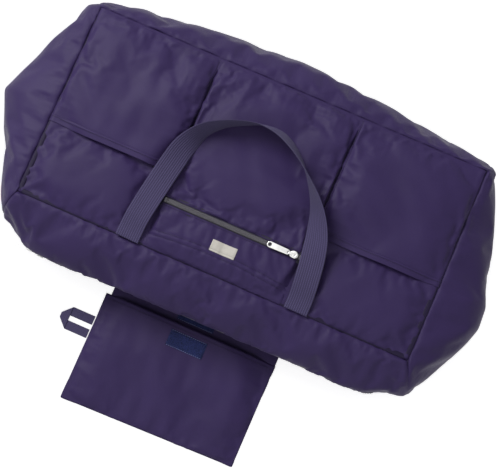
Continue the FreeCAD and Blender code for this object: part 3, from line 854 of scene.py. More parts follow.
def drooped(points, height):
    """The front lip hanging a little over its zip: pushed out by 4t e to the 1 - 4t, times 1 - t.

    t is the share of the way from the zip to the front seam.
    """
    v = arc_lengths(points, 1)
    t = v / v[-1]
    across = arc_lengths(points, 0)
    ends = smooth(np.minimum(across, across[-1] - across) / (70 * MM))[:, None]
    points = points.copy()
    points[..., 1] -= height * ends * (4 * t * np.exp(1 - 4 * t) * (1 - t))
    return points


def build_mouth():
    """The mouth's two lips. The front one is cut at the middle into two halves."""
    shares = np.linspace(0, 1, 121)
    meet = mouth_angles(shares)
    lower = gusset_grid("mouth", shares, np.full(len(shares), -np.pi / 2), -meet, 15)
    lower = loose(lower, 21, 1.2 * MM, 90 * MM)
    lower = settled(lower, edges_held(lower), sizes().puff * 0.4, pressure=0.5, stiff=3.0, cap=5 * MM)
    piece, lower = cloth_piece("mouth_back_cloth", lower, seed=21,
                               sewn=ALL_ROUND)
    declare(piece, "bag", ["mouth_gusset_back"])
    upper = gusset_grid("mouth", shares, meet, np.full(len(shares), np.pi / 2), 17)
    upper = drooped(upper, LIP_DROOP)
    upper = loose(upper, 22, 1.6 * MM, 95 * MM)
    upper = settled(upper, edges_held(upper), sizes().puff * 0.5, pressure=0.5, stiff=3.0, cap=5 * MM)
    upper = puckered(refined(upper, 2), ALL_ROUND, sizes().pucker, 22)
    middle = len(upper) // 2
    normals = grid_normals(upper)
    for name, chosen, sign in (("left", slice(None, middle + 1), -1),
                               ("right", slice(middle, None), 1)):
        part = upper[chosen]
        piece = double_cloth(f"mouth_front_cloth_{name}", part, normals[chosen], sign > 0)
        declare(piece, "bag",
                ["mouth_gusset_front", "mouth_gusset_ends"] if sign < 0 else [], lip_blend(sign))
    return {"lower": lower, "upper": upper}


# ---------------------------------------------------------------- panels and pockets
CLOTH_OVER = 0.55 * MM      # from one layer's face to the next layer's face
ROOT_HALF = (high("front_handle")[0] - low("front_handle")[0]) / 2 - 16 * MM


def level_grid(x0, x1, y0, y1, step):
    """x and y of a level grid: rows along X, columns along Y, about one step apart."""
    count_x, count_y = (max(int(round(size / step)), 4) + 1 for size in (x1 - x0, y1 - y0))
    return np.meshgrid(np.linspace(x0, x1, count_x), np.linspace(y0, y1, count_y), indexing="ij")


def from_rim(x, y, x0, x1, y0, y1):
    """Distance to the nearest side of a rectangle."""
    return np.minimum(np.minimum(x - x0, x1 - x), np.minimum(y - y0, y1 - y))


def build_panels():
    """The back panel, and the front panel under the pockets."""
    x, y = level_grid(LEFT, RIGHT, MOUTH, BASE, 5 * MM)
    inside = ramp(from_rim(x, y, LEFT, RIGHT, MOUTH, BASE), 30 * MM)
    z = BACK_UNDER + 0.4 * MM + inside * 0.9 * MM * (1 + ripple(31, x / 0.11, y / 0.09, octaves=2))
    back = np.stack([x, y, z], -1)[::-1]
    piece, _ = cloth_piece("back_panel_cloth", back, seed=31,
                           sewn=ALL_ROUND)
    declare(piece, "bag", ["back_panel"])
    away = np.abs(x - MIDDLE_X)
    open_strip = ramp(SLIP_MOUTH - y, 25 * MM) * ramp(away - (RIGHT - LEFT) * 0.18, 12 * MM)
    root = np.exp(-(((away - ROOT_HALF) / (26 * MM)) ** 2))
    rise = open_strip * (1 - root) * inside
    z = FRONT_TOP - CLOTH_OVER + rise * 3.2 * MM
    front = np.stack([x, y, z], -1)
    held = np.maximum(edges_held(front), (rise < 0.05) * 1.0)
    front = loose(front, 32, 0.5 * MM, 60 * MM) * rise[..., None] + front * (1 - rise[..., None])
    front = settled(front, held, sizes().puff, pressure=0.6, cap=4 * MM)
    piece, _ = cloth_piece("front_panel_cloth", front, seed=32,
                           sewn=("low row", "high row", "low column"), pucker=0.4 * MM)
    declare(piece, "bag", ["front_panel"])


def seam_rise(y):
    """How far the column seams stand up between the pockets, as a share of the pockets' depth."""
    return 0.72 * ramp(y - SLIP_MOUTH, 45 * MM) * ramp(BASE - y, 45 * MM)


def slip_pocket(side):
    """An open pocket over one side of the front: sewn at three edges, its hem free and gaping.

    Its rise is the pocket's depth times a ramp from each seam, least near the base.
    """
    is_left = side == "left"
    x0, x1 = (LEFT, SEAM_LEFT) if is_left else (SEAM_RIGHT, RIGHT)
    x, y = level_grid(x0, x1, SLIP_MOUTH, BASE, 4.2 * MM)
    depth = POCKET_TOP - FRONT_TOP - CLOTH_OVER
    seam, end = (SEAM_LEFT - x, x - LEFT) if is_left else (x - SEAM_RIGHT, RIGHT - x)
    down = (y - SLIP_MOUTH) / (BASE - SLIP_MOUTH)
    gape = 1 - 0.72 * (1 - ramp(y - SLIP_MOUTH, 50 * MM)) * ramp(seam - 12 * MM, 50 * MM)
    rise = ramp(seam, 30 * MM) * ramp(end, 45 * MM) * ramp(BASE - y, 45 * MM) * (1 - 0.25 * down) * gape
    rise = rise + (1 - rise) * seam_rise(y) * (1 - ramp(seam, 60 * MM))
    z = FRONT_TOP + 0.1 * MM + depth * rise
    points = np.stack([x, y, z], -1)
    points = loose(points, 41 if is_left else 42, 2.6 * MM, 105 * MM)
    held = edges_held(points, low_column=0.0)
    points = settled(points, held, sizes().puff, pressure=0.5, cap=5 * MM)
    points[..., 2] = np.maximum(points[..., 2], FRONT_TOP + 0.1 * MM)
    piece, fine = cloth_piece(f"{side}_pocket_cloth", points, seed=43 if is_left else 44,
                              sewn=("low row", "high row", "high column"))
    declare(piece, "bag", [f"{side}_slip_pocket"])
    hem(f"{side}_pocket_hem", fine)
    return fine


def hem(name, grid, width=7 * MM):
    """The folded edge of a pocket: the grid's first columns again, doubled, with a round lip."""
    v = arc_lengths(grid, 1)
    count = int(np.searchsorted(v, width)) + 1
    normals = grid_normals(grid)[:, :count]
    band = grid[:, :count] + normals * 0.42 * MM
    outward = unit(grid[:, :1] - grid[:, 1:2])
    lip = [grid[:, :1] + outward * 0.5 * MM * np.cos(a) + normals[:, :1] * 0.42 * MM * np.sin(a)
           for a in np.linspace(-0.5 * np.pi, 0.4 * np.pi, 5)]
    points = np.concatenate([*lip, band], axis=1)
    piece = grid_object(name, points, MATERIALS["nylon"])
    thickened(piece, 0.3 * MM)
    declare(piece, "bag")
    rows = np.linspace(0.01, 0.99, 60)
    share = np.full(60, (width - 1.2 * MM) / v[-1])
    stitch_piece(f"{name}_stitches", [row_of_stitches(raised(grid, 0.45 * MM), rows, share)], "bag")


def raised(grid, height):
    return grid + grid_normals(grid) * height


def stitch_piece(name, rows, body, material="thread", blend=None):
    """One piece from several rows of stitches."""
    piece = joined(name, rows, MATERIALS[material])
    declare(piece, body, (), blend)
    return piece


def build_center():
    """The zipped pocket's cloth and the facing below its zip, raised to the zip's level."""
    depth = low("pocket_zip_coils")[2] - FRONT_TOP
    x, y = level_grid(SEAM_LEFT, SEAM_RIGHT, ZIP_UPPER_EDGE, BASE, 3.8 * MM)
    seam = np.minimum(x - SEAM_LEFT, SEAM_RIGHT - x)
    down = (y - ZIP_UPPER_EDGE) / (BASE - ZIP_UPPER_EDGE)
    rise = ramp(seam, 5 * MM + 38 * MM * ramp(down, 0.5))
    rise = rise * ramp(BASE - y, 60 * MM) * (1 - 0.25 * down)
    rise = rise + (1 - rise) * seam_rise(y) * (1 - ramp(seam, 60 * MM))
    points = np.stack([x, y, FRONT_TOP + 0.15 * MM + depth * rise], -1)
    points = loose(points, 51, 2.2 * MM, 105 * MM)
    points = settled(points, edges_held(points), sizes().puff, pressure=0.7, cap=6 * MM)
    points[..., 2] = np.maximum(points[..., 2], FRONT_TOP + 0.1 * MM)
    piece, pocket = cloth_piece("center_pocket_cloth", points, seed=51,
                                sewn=("low row", "high row", "high column"))
    declare(piece, "bag", ["center_pocket_panel"])
    x, y = level_grid(SEAM_LEFT, SEAM_RIGHT, MOUTH, ZIP_LOWER_EDGE, 3.2 * MM)
    seam = np.minimum(x - SEAM_LEFT, SEAM_RIGHT - x)
    up = (y - MOUTH) / (ZIP_LOWER_EDGE - MOUTH)
    rise = ramp(seam, 5 * MM + 16 * MM * (1 - up)) * ramp(y - MOUTH, 22 * MM)
    points = np.stack([x, y, FRONT_TOP + 0.15 * MM + depth * rise], -1)
    points = loose(points, 52, 0.7 * MM, 45 * MM)
    points = settled(points, edges_held(points), sizes().puff * 0.3, pressure=0.3, cap=2 * MM)
    points[..., 2] = np.maximum(points[..., 2], FRONT_TOP + 0.1 * MM)
    points = arched(refined(points, 2))
    piece, facing = cloth_piece("zip_facing_cloth", points, seed=52,
                                sewn=("low row", "high row", "low column"), pucker=0.35 * MM, times=1)
    declare(piece, "bag", ["zip_facing"])
    return pocket, facing


ARCH_APEX = 21.5 * MM       # bag's mouth edge to the arched seam, at the middle
ARCH_FALL = 6.5 * MM
ARCH_ROWS = (0.0, 6.0 * MM)


def arch_at(share):
    """How far the arched seam lies from the mouth's edge, at a share of the facing's length."""
    return ARCH_APEX - ARCH_FALL * (2 * share - 1) ** 2


def arched(points):
    """Sinks the facing along its two arched rows and ruffles the cloth beside them."""
    v = arc_lengths(points, 1)[None]
    share = np.linspace(0, 1, len(points))[:, None]
    u = arc_lengths(points, 0)[:, None]
    lift = 0.0
    for k, step in enumerate(ARCH_ROWS):
        away = v - arch_at(share) - step
        lift = lift - 1.15 * MM * np.exp(-(away / (1.4 * MM)) ** 2)
        fade = np.exp(-(away / (4 * MM)) ** 2)
        lift = lift + 0.35 * MM * fade * ripple(54 + k, u / (7 * MM), v / (25 * MM), octaves=2)
    return points + grid_normals(points) * lift[..., None]


def height_on(grid, x, y):
    """Height of a grid over given places: the mean of its four nearest points by inverse distance."""
    flat = grid.reshape(-1, 3)
    shape = np.shape(x)
    near = np.stack([np.ravel(x), np.ravel(y)], 1)
    d = ((near[:, None, :] - flat[None, :, :2]) ** 2).sum(-1)
    best = np.argpartition(d, 4, axis=1)[:, :4]
    w = 1 / (np.take_along_axis(d, best, 1) + 1e-9)
    return ((flat[best, 2] * w).sum(1) / w.sum(1)).reshape(shape)


def build_front_stitches(left, right, pocket, facing):
    """Topstitching: outside the column seams, on both sides of the zip, and the arched double row."""
    n = 60
    full = np.linspace(0.015, 0.985, n)
    rows = []
    for grid, inner in ((left, 1), (right, 0)):
        away = 2.4 * MM / arc_lengths(grid, 0)[-1]
        share = np.full(n, abs(inner - away))
        rows.append(row_of_stitches(raised(grid, 0.1 * MM), share, full))
    rows.append(row_of_stitches(pocket, full, np.full(n, 2.0 * MM / arc_lengths(pocket, 1)[-1])))
    length = arc_lengths(facing, 1)[-1]
    rows.append(row_of_stitches(facing, full, np.full(n, 1 - 2.0 * MM / length)))
    across = np.linspace(0.06, 0.94, n)
    for step in ARCH_ROWS:
        rows.append(row_of_stitches(facing, across, (arch_at(across) + step) / length))
    stitch_piece("front_stitches", rows, "bag")


def build_label(facing):
    """A blank woven label laid on the facing, its two short ends turned under and sewn down."""
    lo, hi = low("blank_label"), high("blank_label")
    x, y = level_grid(lo[0], hi[0], lo[1], hi[1], 1.0 * MM)
    edge = np.minimum(x - lo[0], hi[0] - x)
    doubled = ramp(edge, 2.5 * MM) * (1 - ramp(edge - 9 * MM, 5 * MM))
    z = height_on(facing, x, y) + 0.75 * MM + 0.35 * MM * doubled
    points = refined(np.stack([x, y, z], -1), 2)
    piece = grid_object("woven_label", points, MATERIALS["label"])
    thickened(piece, 0.6 * MM)
    bevel = piece.modifiers.new("soft edge", "BEVEL")
    bevel.width, bevel.segments = 0.18 * MM, 2
    declare(piece, "bag", ["blank_label"])
    n = 20
    full = np.linspace(0.06, 0.94, n)
    rows = [row_of_stitches(points, np.full(n, share), full, thick=0.3 * MM)
            for share in (0.05, 0.95)]
    stitch_piece("label_stitches", rows, "bag", "label")


# ---------------------------------------------------------------- seam bindings
def binding_ring(name, node):
    """A folded tape sewn round a panel's edge: a rounded bar of the node's height and width.

    The path is the panel's outline with small round corners; the section is a superellipse whose
    sides pull in a little between stitches.
    """
    lo, hi = low(node), high(node)
    width = 5.6 * MM
    (x0, y0), (x1, y1) = lo[:2] + width / 2, hi[:2] - width / 2
    centre_line = outline_path(x0, x1, y0, y1, 6 * MM)
    along = unit(np.roll(centre_line, -1, 0) - np.roll(centre_line, 1, 0))
    side = np.stack([along[:, 1], -along[:, 0]], 1)
    turn = np.linspace(0, 2 * np.pi, 20, endpoint=False)
    a = np.sign(np.cos(turn)) * np.abs(np.cos(turn)) ** 0.55 * width / 2
    b = np.sign(np.sin(turn)) * np.abs(np.sin(turn)) ** 0.75 * (hi[2] - lo[2]) / 2
    run = walked(centre_line)
    squeeze = 1 - 0.05 * np.abs(np.sin(np.pi * run / (4 * MM)))
    xy = centre_line[:, None] + side[:, None] * (a[None] * squeeze[:, None])[..., None]
    z = (lo[2] + hi[2]) / 2 + b[None] * squeeze[:, None]
    points = np.concatenate([xy, z[..., None]], -1)
    uv = np.stack(np.broadcast_arrays(run[:, None], (turn * width / 3)[None]), -1)
    piece = grid_object(name, points, MATERIALS["binding"], True, True, uv)
    declare(piece, "bag", [node])


def outline_path(x0, x1, y0, y1, corner):
    """A rectangle with round corners as one closed run of (x, y) points about 2 mm apart."""
    corners = [(x1 - corner, y1 - corner, 0), (x0 + corner, y1 - corner, 1),
               (x0 + corner, y0 + corner, 2), (x1 - corner, y0 + corner, 3)]
    points = []
    for x, y, quarter in corners:
        turn = np.linspace(0, np.pi / 2, 8) + quarter * np.pi / 2
        points.append(np.stack([x + corner * np.cos(turn), y + corner * np.sin(turn)], 1))
    closed = np.concatenate([*points, points[0][:1]])
    run = walked(closed)
    at = np.linspace(0, run[-1], int(run[-1] / (2 * MM)), endpoint=False)
    return np.stack([np.interp(at, run, closed[:, k]) for k in (0, 1)], 1)


# ---------------------------------------------------------------- webbing
def strap_section(thick, ribs):
    """A strap's section, across the upper face and back along the lower one.

    Returns the share across from -1 to 1 and the height. The half thickness is less at the two
    edges, with a rib for each lengthwise yarn: the sine of the share across times the ribs.
    """
    there = np.linspace(-1, 1, 6 * ribs + 1)
    across = np.concatenate([there, there[-2:0:-1]])
    face = np.where(np.arange(len(across)) < len(there), 1.0, -1.0)
    rim = (1 - np.abs(across) ** 14) ** 0.5
    rib = 0.2 * MM * np.abs(np.sin(np.pi * ribs * (across + 1) / 2)) - 0.14 * MM
    return across, (thick / 2 * (0.6 + 0.4 * (1 - across**6)) + rib) * rim * face


def webbing_points(middle, width_way, up, width, thick, ribs):
    """A flat strap carried along its middle line, as points and distances along and across."""
    across, height = strap_section(thick, ribs)
    points = (middle[:, None] + width_way[:, None] * (across * width / 2)[None, :, None]
              + up[:, None] * height[None, :, None])
    uv = np.stack(np.broadcast_arrays(walked(middle)[:, None], ((across + 1) * width / 2)[None]), -1)
    return points, uv


def webbing_object(name, points, uv, material):
    """The strap as a mesh, both of its ends closed."""
    rows, columns = points.shape[:2]
    faces = grid_faces(rows, columns, False, True).tolist()
    faces.append(list(range(columns)))
    faces.append(list(range((rows - 1) * columns, rows * columns))[::-1])
    verts = points.reshape(-1, 3)
    piece = mesh_object(name, verts, faces, MATERIALS[material], uv.reshape(-1, 2))
    turned_out(piece)
    return piece


def turned_out(piece, merge=False):
    """Turns a closed mesh's faces so that they point out of it, its close points merged first if asked."""
    shell = bmesh.new()
    shell.from_mesh(piece.data)
    if merge:
        bmesh.ops.remove_doubles(shell, verts=shell.verts[:], dist=1e-6)
    bmesh.ops.recalc_face_normals(shell, faces=shell.faces[:])
    shell.to_mesh(piece.data)
    shell.free()


# The route of the front handle's webbing, the same rows as its solid. Each row: x as a share of the
# root's, y from the bag's middle in millimetres, climb from the panel to the pockets' face from 0 to 1,
# spare height in millimetres, and lean in degrees.
HANDLE_ROUTE = [
    (-1.000, -116.5, 0.0, 0.0, 0.0),
    (-0.995, -103.0, 0.4, 0.0, 0.0),
    (-0.981, -88.0, 1.0, 0.9, 0.0),
    (-0.947, -66.0, 1.0, 3.8, 2.0),
    (-0.913, -45.0, 1.0, 3.8, 6.0),
    (-0.869, -20.0, 1.0, 3.1, 14.0),
    (-0.816, 3.0, 1.0, 2.0, 30.0),
    (-0.699, 27.0, 1.0, 0.1, 62.0),
    (-0.505, 43.5, 1.0, 0.8, 82.0),
    (-0.262, 55.0, 1.0, 1.1, 92.0),
    (-0.078, 59.5, 1.0, 1.4, 105.0),
    (0.136, 57.0, 1.0, 1.5, 114.0),
    (0.369, 43.0, 1.0, 0.8, 106.0),
    (0.583, 22.0, 1.0, -0.3, 86.0),
    (0.767, -2.0, 1.0, 0.1, 62.0),
    (0.883, -28.0, 1.0, 1.5, 34.0),
    (0.947, -55.0, 1.0, 3.1, 10.0),
    (0.985, -84.0, 1.0, 1.0, 2.0),
    (1.000, -101.0, 0.4, 0.0, 0.0),
    (1.000, -116.5, 0.0, 0.0, 0.0),
]
WEBBING_WIDTH = 28.0 * MM
WEBBING_RIBS = 11
JOINTS = {joint["name"]: joint for joint in frame["record"]["behaviour"]["joints"]}
HANDLE_AXIS = JOINTS["front_handle_swing"]["pos_m"]


def front_handle_lines():
    """Middle, width direction and face direction of the front handle, about 2.5 mm apart."""
    rows = np.array(HANDLE_ROUTE)
    lean = np.radians(rows[:, 4])
    root = (high("front_handle")[0] - low("front_handle")[0]) / 2 - WEBBING_WIDTH / 2
    lift = rows[:, 2] * (POCKET_TOP - FRONT_TOP) + rows[:, 3] * MM + WEBBING_WIDTH / 2 * np.sin(lean)
    centre = (high("front_handle")[0] + low("front_handle")[0]) / 2
    middle = np.stack([centre + rows[:, 0] * root, (MOUTH + BASE) / 2 + rows[:, 1] * MM,
                       HANDLE_AXIS[2] + lift], 1)
    fine = refined(np.concatenate([middle, lean[:, None]], 1)[:, None].repeat(2, 1), 10)[:, 0]
    middle, lean = fine[:, :3], fine[:, 3]
    along = unit(np.gradient(middle, axis=0))
    out = unit(np.stack([-along[:, 1], along[:, 0], np.zeros(len(along))], 1))
    width = out * np.cos(lean)[:, None] + np.array([0, 0, 1.0]) * np.sin(lean)[:, None]
    width = unit(width - along * (width * along).sum(1, keepdims=True))
    return middle, width, np.cross(along, width)


def build_front_handle():
    middle, width, up = front_handle_lines()
    points, uv = webbing_points(middle, width, up, WEBBING_WIDTH, sizes().webbing, WEBBING_RIBS)
    piece = webbing_object("front_handle_webbing", points, uv, "webbing")
    x, y, z = HANDLE_AXIS
    declare(piece, "bag", ["front_handle"],
            ("front_handle", (x, MOUTH - 1 * MM, z), (x, MOUTH + 16 * MM, z)))
    rows = []
    for end in (0, -1):
        here = middle[end] + np.array([0, 3.2 * MM, 0.75 * MM])
        path = here + np.linspace(-1, 1, 24)[:, None] * np.array([WEBBING_WIDTH * 0.44, 0, 0])
        rows.append(stitch_solids(path, np.tile([0, 0, 1.0], (24, 1)), sizes().stitch, sizes().thread))
    stitch_piece("front_handle_stitches", rows, "bag", "thread")


def flat_strip(corners, z, length_way, thick, ribs):
    """A straight strap lying flat, its ends cut slanting, as points and distances along and across.

    The corners are two at its start and two at its end, as (x, y).
    """
    a, b, c, d = (np.array(corner) for corner in corners)
    t = np.linspace(0, 1, 40)[:, None]
    one, two = a + (d - a) * t, b + (c - b) * t
    across, height = strap_section(thick, ribs)
    xy = ((one + two) / 2)[:, None] + ((two - one) / 2)[:, None] * across[None, :, None]
    points = np.concatenate([xy, np.broadcast_to(z + height[None], xy.shape[:2])[..., None]], -1)
    run = (xy * length_way).sum(-1)
    side = (xy * np.array([-length_way[1], length_way[0]])).sum(-1)
    return points, np.stack([run, side], -1)


def folded_strap(name, arms, cross, ribs, body, material, node):
    """Two arms and a cross strip laid over their ends, as one folded length that stands for a node.

    An arm or the cross strip is its four corners and the way that its length runs.
    """
    thick = (high(node)[2] - low(node)[2]) / 2
    lower, upper = low(node)[2] + thick / 2, high(node)[2] - thick / 2
    pieces = []
    for (corners, way), z in zip([*arms, cross], (lower, lower, upper)):
        points, uv = flat_strip(corners, z, np.array(way, float), thick, ribs)
        pieces.append(webbing_object(f"{name}_part", points, uv, material))
    with bpy.context.temp_override(active_object=pieces[0], selected_editable_objects=pieces):
        bpy.ops.object.join()
    piece = pieces[0]
    piece.name = piece.data.name = name
    declare(piece, body, [node])


def build_back_handle():
    """The back handle folded square and flat under the bag."""
    (x0, y0, _), (x1, y1, _) = low("back_handle"), high("back_handle")
    width = WEBBING_WIDTH
    arms = [([(x0, y0), (x0 + width, y0), (x0 + width, y1), (x0, y1 - width)], (0, 1)),
            ([(x1 - width, y0), (x1, y0), (x1, y1 - width), (x1 - width, y1)], (0, 1))]
    cross = ([(x0, y1 - width), (x0 + width, y1), (x1 - width, y1), (x1, y1 - width)], (1, 0))
    folded_strap("back_handle_webbing", arms, cross, WEBBING_RIBS, "back_handle", "webbing",
                 "back_handle")


TAB_WIDTH, TAB_RIBS = 11 * MM, 5
TAB_MOVED = np.array([-1.5 * MM, 5.0 * MM])     # the loop lies a little askew of its solid


def build_tab():
    """The hanging loop of narrow tape at the pouch's side, folded to a blunt point."""
    node = "pouch_loop_tab"
    (x0, y0), (x1, y1) = low(node)[:2] + TAB_MOVED, high(node)[:2] + TAB_MOVED
    width = TAB_WIDTH
    arms = [([(x1, y0), (x1, y0 + width), (x0, y0 + width), (x0 + width, y0)], (1, 0)),
            ([(x1, y1 - width), (x1, y1), (x0 + width, y1), (x0, y1 - width)], (1, 0))]
    cross = ([(x0, y0 + width), (x0 + width, y0), (x0 + width, y1), (x0, y1 - width)], (0, 1))
    folded_strap("hanging_loop_tape", arms, cross, TAB_RIBS, "loop_tab", "narrow", node)


# ---------------------------------------------------------------- zips
COIL_HALF = 1.45 * MM
COIL_HIGH = 1.6 * MM
COIL_WIRE = 0.30 * MM


class ZipPlace:
    """Where a zip lies: a point on its tape's face, its along, across and outward directions."""

    def __init__(self, origin, across, out):
        self.origin = np.array(origin, float)
        self.axes = np.array([np.array([1.0, 0, 0]), np.array(across, float), np.array(out, float)])

    def at(self, local):
        """Points given along, across and out of the tape, in the frame's own axes."""
        return self.origin + np.asarray(local) @ self.axes


def pocket_place():
    lo, hi = low("pocket_zip_coils"), high("pocket_zip_coils")
    return ZipPlace(((lo[0] + hi[0]) / 2, (lo[1] + hi[1]) / 2, lo[2]), (0, 1, 0), (0, 0, 1))


def mouth_place():
    lo, hi = low("main_zip_coils"), high("main_zip_coils")
    return ZipPlace(((lo[0] + hi[0]) / 2, hi[1], (lo[2] + hi[2]) / 2), (0, 0, 1), (0, -1, 0))


def coil(place, x0, x1, side):
    """One coil of a zip: a wire wound flat along the tape, its heads just past the zip's middle.

    Along = the pitch times the turns; across = the half width times one less the cosine, less a
    quarter millimetre; out = half the height times one plus the sine of the turning angle.
    """
    pitch = sizes().coil_pitch
    turns = (x1 - x0) / pitch
    angle = np.linspace(0, 2 * np.pi * turns, int(turns * 9))
    along = x0 + pitch * angle / (2 * np.pi)
    across = side * (COIL_HALF * (1 - np.cos(angle + np.pi * (side > 0))) - 0.25 * MM)
    out = COIL_HIGH / 2 * (1 + np.sin(angle + np.pi * (side > 0)))
    return tube(place.at(np.stack([along, across, out], 1)), COIL_WIRE, 6)


def tape(name, place, x0, x1, inner, outer, replaces=(), blend=None):
    """One side of a zip's woven tape, sinking a little towards its sewn edge."""
    steps = int((x1 - x0) / (3 * MM)) + 2
    x, w = np.meshgrid(np.linspace(x0, x1, steps), np.linspace(0, 1, 9), indexing="ij")
    y = inner + (outer - inner) * w
    sag = -0.15 * MM - 0.25 * MM * w + 0.12 * MM * ripple(61, x / (60 * MM), y / (20 * MM), octaves=2)
    points = place.at(np.stack([x, y, sag], -1))
    if outer < inner:
        points = points[::-1]
    piece = grid_object(name, points, MATERIALS["zip tape"])
    thickened(piece, 0.5 * MM)
    declare(piece, "bag", replaces, blend)


def lip_blend(sign):
    """From the mouth's fixed end to the part of the lip that lifts, on one side of the middle."""
    lo, hi = low("lip_zip_tape"), high("lip_zip_tape")
    centre, half = (lo[0] + hi[0]) / 2, (hi[0] - lo[0]) / 2
    start = (centre + sign * (half - 16 * MM), MOUTH, RING_Z)
    end = (centre + sign * (half - 80 * MM), MOUTH, RING_Z)
    return ("mouth_lip", start, end)


def build_pocket_zip():
    place = pocket_place()
    half = (high("pocket_zip_coils")[0] - low("pocket_zip_coils")[0]) / 2
    reach = (high("pocket_zip_tape")[1] - low("pocket_zip_tape")[1]) / 2 + 1 * MM
    for name, side in (("upper", 1), ("lower", -1)):
        tape(f"pocket_tape_{name}", place, -half - 3.5 * MM, half + 3 * MM, side * 0.3 * MM,
             side * reach, ["pocket_zip_tape"] if side > 0 else [])
    piece = joined("pocket_coils", [coil(place, -half, half, s) for s in (-1, 1)], MATERIALS["coil"])
    declare(piece, "bag", ["pocket_zip_coils"])
    stops("pocket_stops", place, half, "pocket_zip_stops")


def build_mouth_zip():
    place = mouth_place()
    half = (high("main_zip_coils")[0] - low("main_zip_coils")[0]) / 2
    reach = (high("main_zip_tape")[2] - low("main_zip_tape")[2]) / 2 + 3 * MM
    tape("mouth_tape_back", place, -half - 6 * MM, half + 6 * MM, -0.3 * MM, -reach, ["main_zip_tape"])
    piece = joined("mouth_coil_back", [coil(place, -half, half, -1)], MATERIALS["coil"])
    declare(piece, "bag", ["main_zip_coils"])
    for name, sign in (("left", -1), ("right", 1)):
        x0, x1 = sorted((0.0, sign * (half + 6 * MM)))
        tape(f"mouth_tape_front_{name}", place, x0, x1, 0.3 * MM, reach,
             ["lip_zip_tape"] if sign < 0 else [], lip_blend(sign))
        x0, x1 = sorted((0.0, sign * half))
        piece = joined(f"mouth_coil_front_{name}", [coil(place, x0, x1, 1)], MATERIALS["coil"])
        declare(piece, "bag", ["lip_zip_coil"] if sign < 0 else [], lip_blend(sign))
    stops("mouth_stops", place, half, "main_zip_stops")


def capsule(x0, r0, x1, r1, n=20):
    """Outline round two circles on the X axis, as (x, y): their outer arcs joined by tangents."""
    lean = np.arcsin((r0 - r1) / (x1 - x0))
    a = np.linspace(-np.pi / 2 + lean, np.pi / 2 - lean, n)
    right = np.stack([x1 + r1 * np.cos(a), r1 * np.sin(a)], 1)
    b = np.linspace(np.pi / 2 - lean, 3 * np.pi / 2 + lean, n)
    left = np.stack([x0 + r0 * np.cos(b), r0 * np.sin(b)], 1)
    return np.concatenate([right, left])


def ring_outline(x, y, rx, ry, n=28, power=1.0):
    """An ellipse, or with a power under 1 a rounded rectangle, as (x, y)."""
    a = np.linspace(0, 2 * np.pi, n, endpoint=False)
    c, s = np.cos(a), np.sin(a)
    return np.stack([x + rx * np.sign(c) * np.abs(c) ** power,
                     y + ry * np.sign(s) * np.abs(s) ** power], 1)


def plate(outline, z0, z1, edge, holes=()):
    """Points and faces of a flat plate between two heights, its edges rounded by the given radius."""
    shape = bpy.data.curves.new("plate", "CURVE")
    shape.dimensions, shape.fill_mode = "2D", "BOTH"
    shape.extrude = max((z1 - z0) / 2 - edge, 1e-5)
    shape.bevel_depth, shape.bevel_resolution, shape.offset = edge, 3, -edge
    for loop in (outline, *holes):
        spline = shape.splines.new("POLY")
        spline.points.add(len(loop) - 1)
        flat = np.concatenate([loop, np.zeros((len(loop), 1)), np.ones((len(loop), 1))], 1)
        spline.points.foreach_set("co", flat.ravel())
        spline.use_cyclic_u = True
    made = bpy.data.objects.new("plate", shape)
    mesh = bpy.data.meshes.new_from_object(made)
    points = np.zeros(len(mesh.vertices) * 3)
    mesh.vertices.foreach_get("co", points)
    faces = [list(p.vertices) for p in mesh.polygons]
    for data, store in ((made, bpy.data.objects), (shape, bpy.data.curves), (mesh, bpy.data.meshes)):
        store.remove(data)
    points = points.reshape(-1, 3) + np.array([0, 0, (z0 + z1) / 2])
    return points, faces


def metal_piece(name, parts, place, body, node, material="metal"):
    """Plates and bars given in a zip's own directions, in millimetres, as one hard piece."""
    moved = [(place.at(np.asarray(points).reshape(-1, 3) * MM), faces) for points, faces in parts]
    piece = joined(name, moved, MATERIALS[material])
    turned_out(piece, merge=True)
    piece.modifiers.new("crisp corners", "EDGE_SPLIT").split_angle = np.radians(50)
    declare(piece, body, [node])


def stops(name, place, half, node):
    """Moulded end stops over both coils, of the coils' own plastic."""
    parts = []
    for sign in (-1, 1):
        outline = ring_outline(sign * (half / MM + 1.1), 0, 1.15, 2.6, power=0.5)
        parts.append(plate(outline, -0.1, 1.7, 0.45))
    metal_piece(name, parts, place, "bag", node, "coil")


def slider_parts():
    """A slider: two plates on a post, side flanges, and a round cap split for the pull's tongue.

    In millimetres along, across and out of the tape, from the slider's middle.
    """
    body = capsule(-1.6, 3.6, 1.9, 3.25)
    parts = [plate(body, -1.9, -0.9, 0.3), plate(body, 1.95, 3.0, 0.35)]
    parts += [plate(ring_outline(0.2, side * 3.35, 3.0, 0.35, power=0.5), 1.2, 2.2, 0.2)
              for side in (-1, 1)]
    parts += [plate(ring_outline(0, side * 2.6, 2.0, 0.75, power=0.6), 2.9, 5.0, 0.2)
              for side in (-1, 1)]
    a = np.linspace(np.pi - 0.42, -np.pi + 0.42, 44)
    cap = np.stack([4.1 * np.cos(a), 4.1 * np.sin(a)], 1)
    inner = np.array([[-2.9, -1.65], [1.6, -1.65], [2.2, -1.1], [2.2, 1.1], [1.6, 1.65], [-2.9, 1.65]])
    parts.append(plate(np.concatenate([cap, inner]), 4.75, 5.85, 0.42))
    pin = np.stack([np.zeros(6), np.linspace(-3.0, 3.0, 6), np.full(6, 3.9)], 1)
    parts.append(tube(pin, 0.5, 12))
    return parts


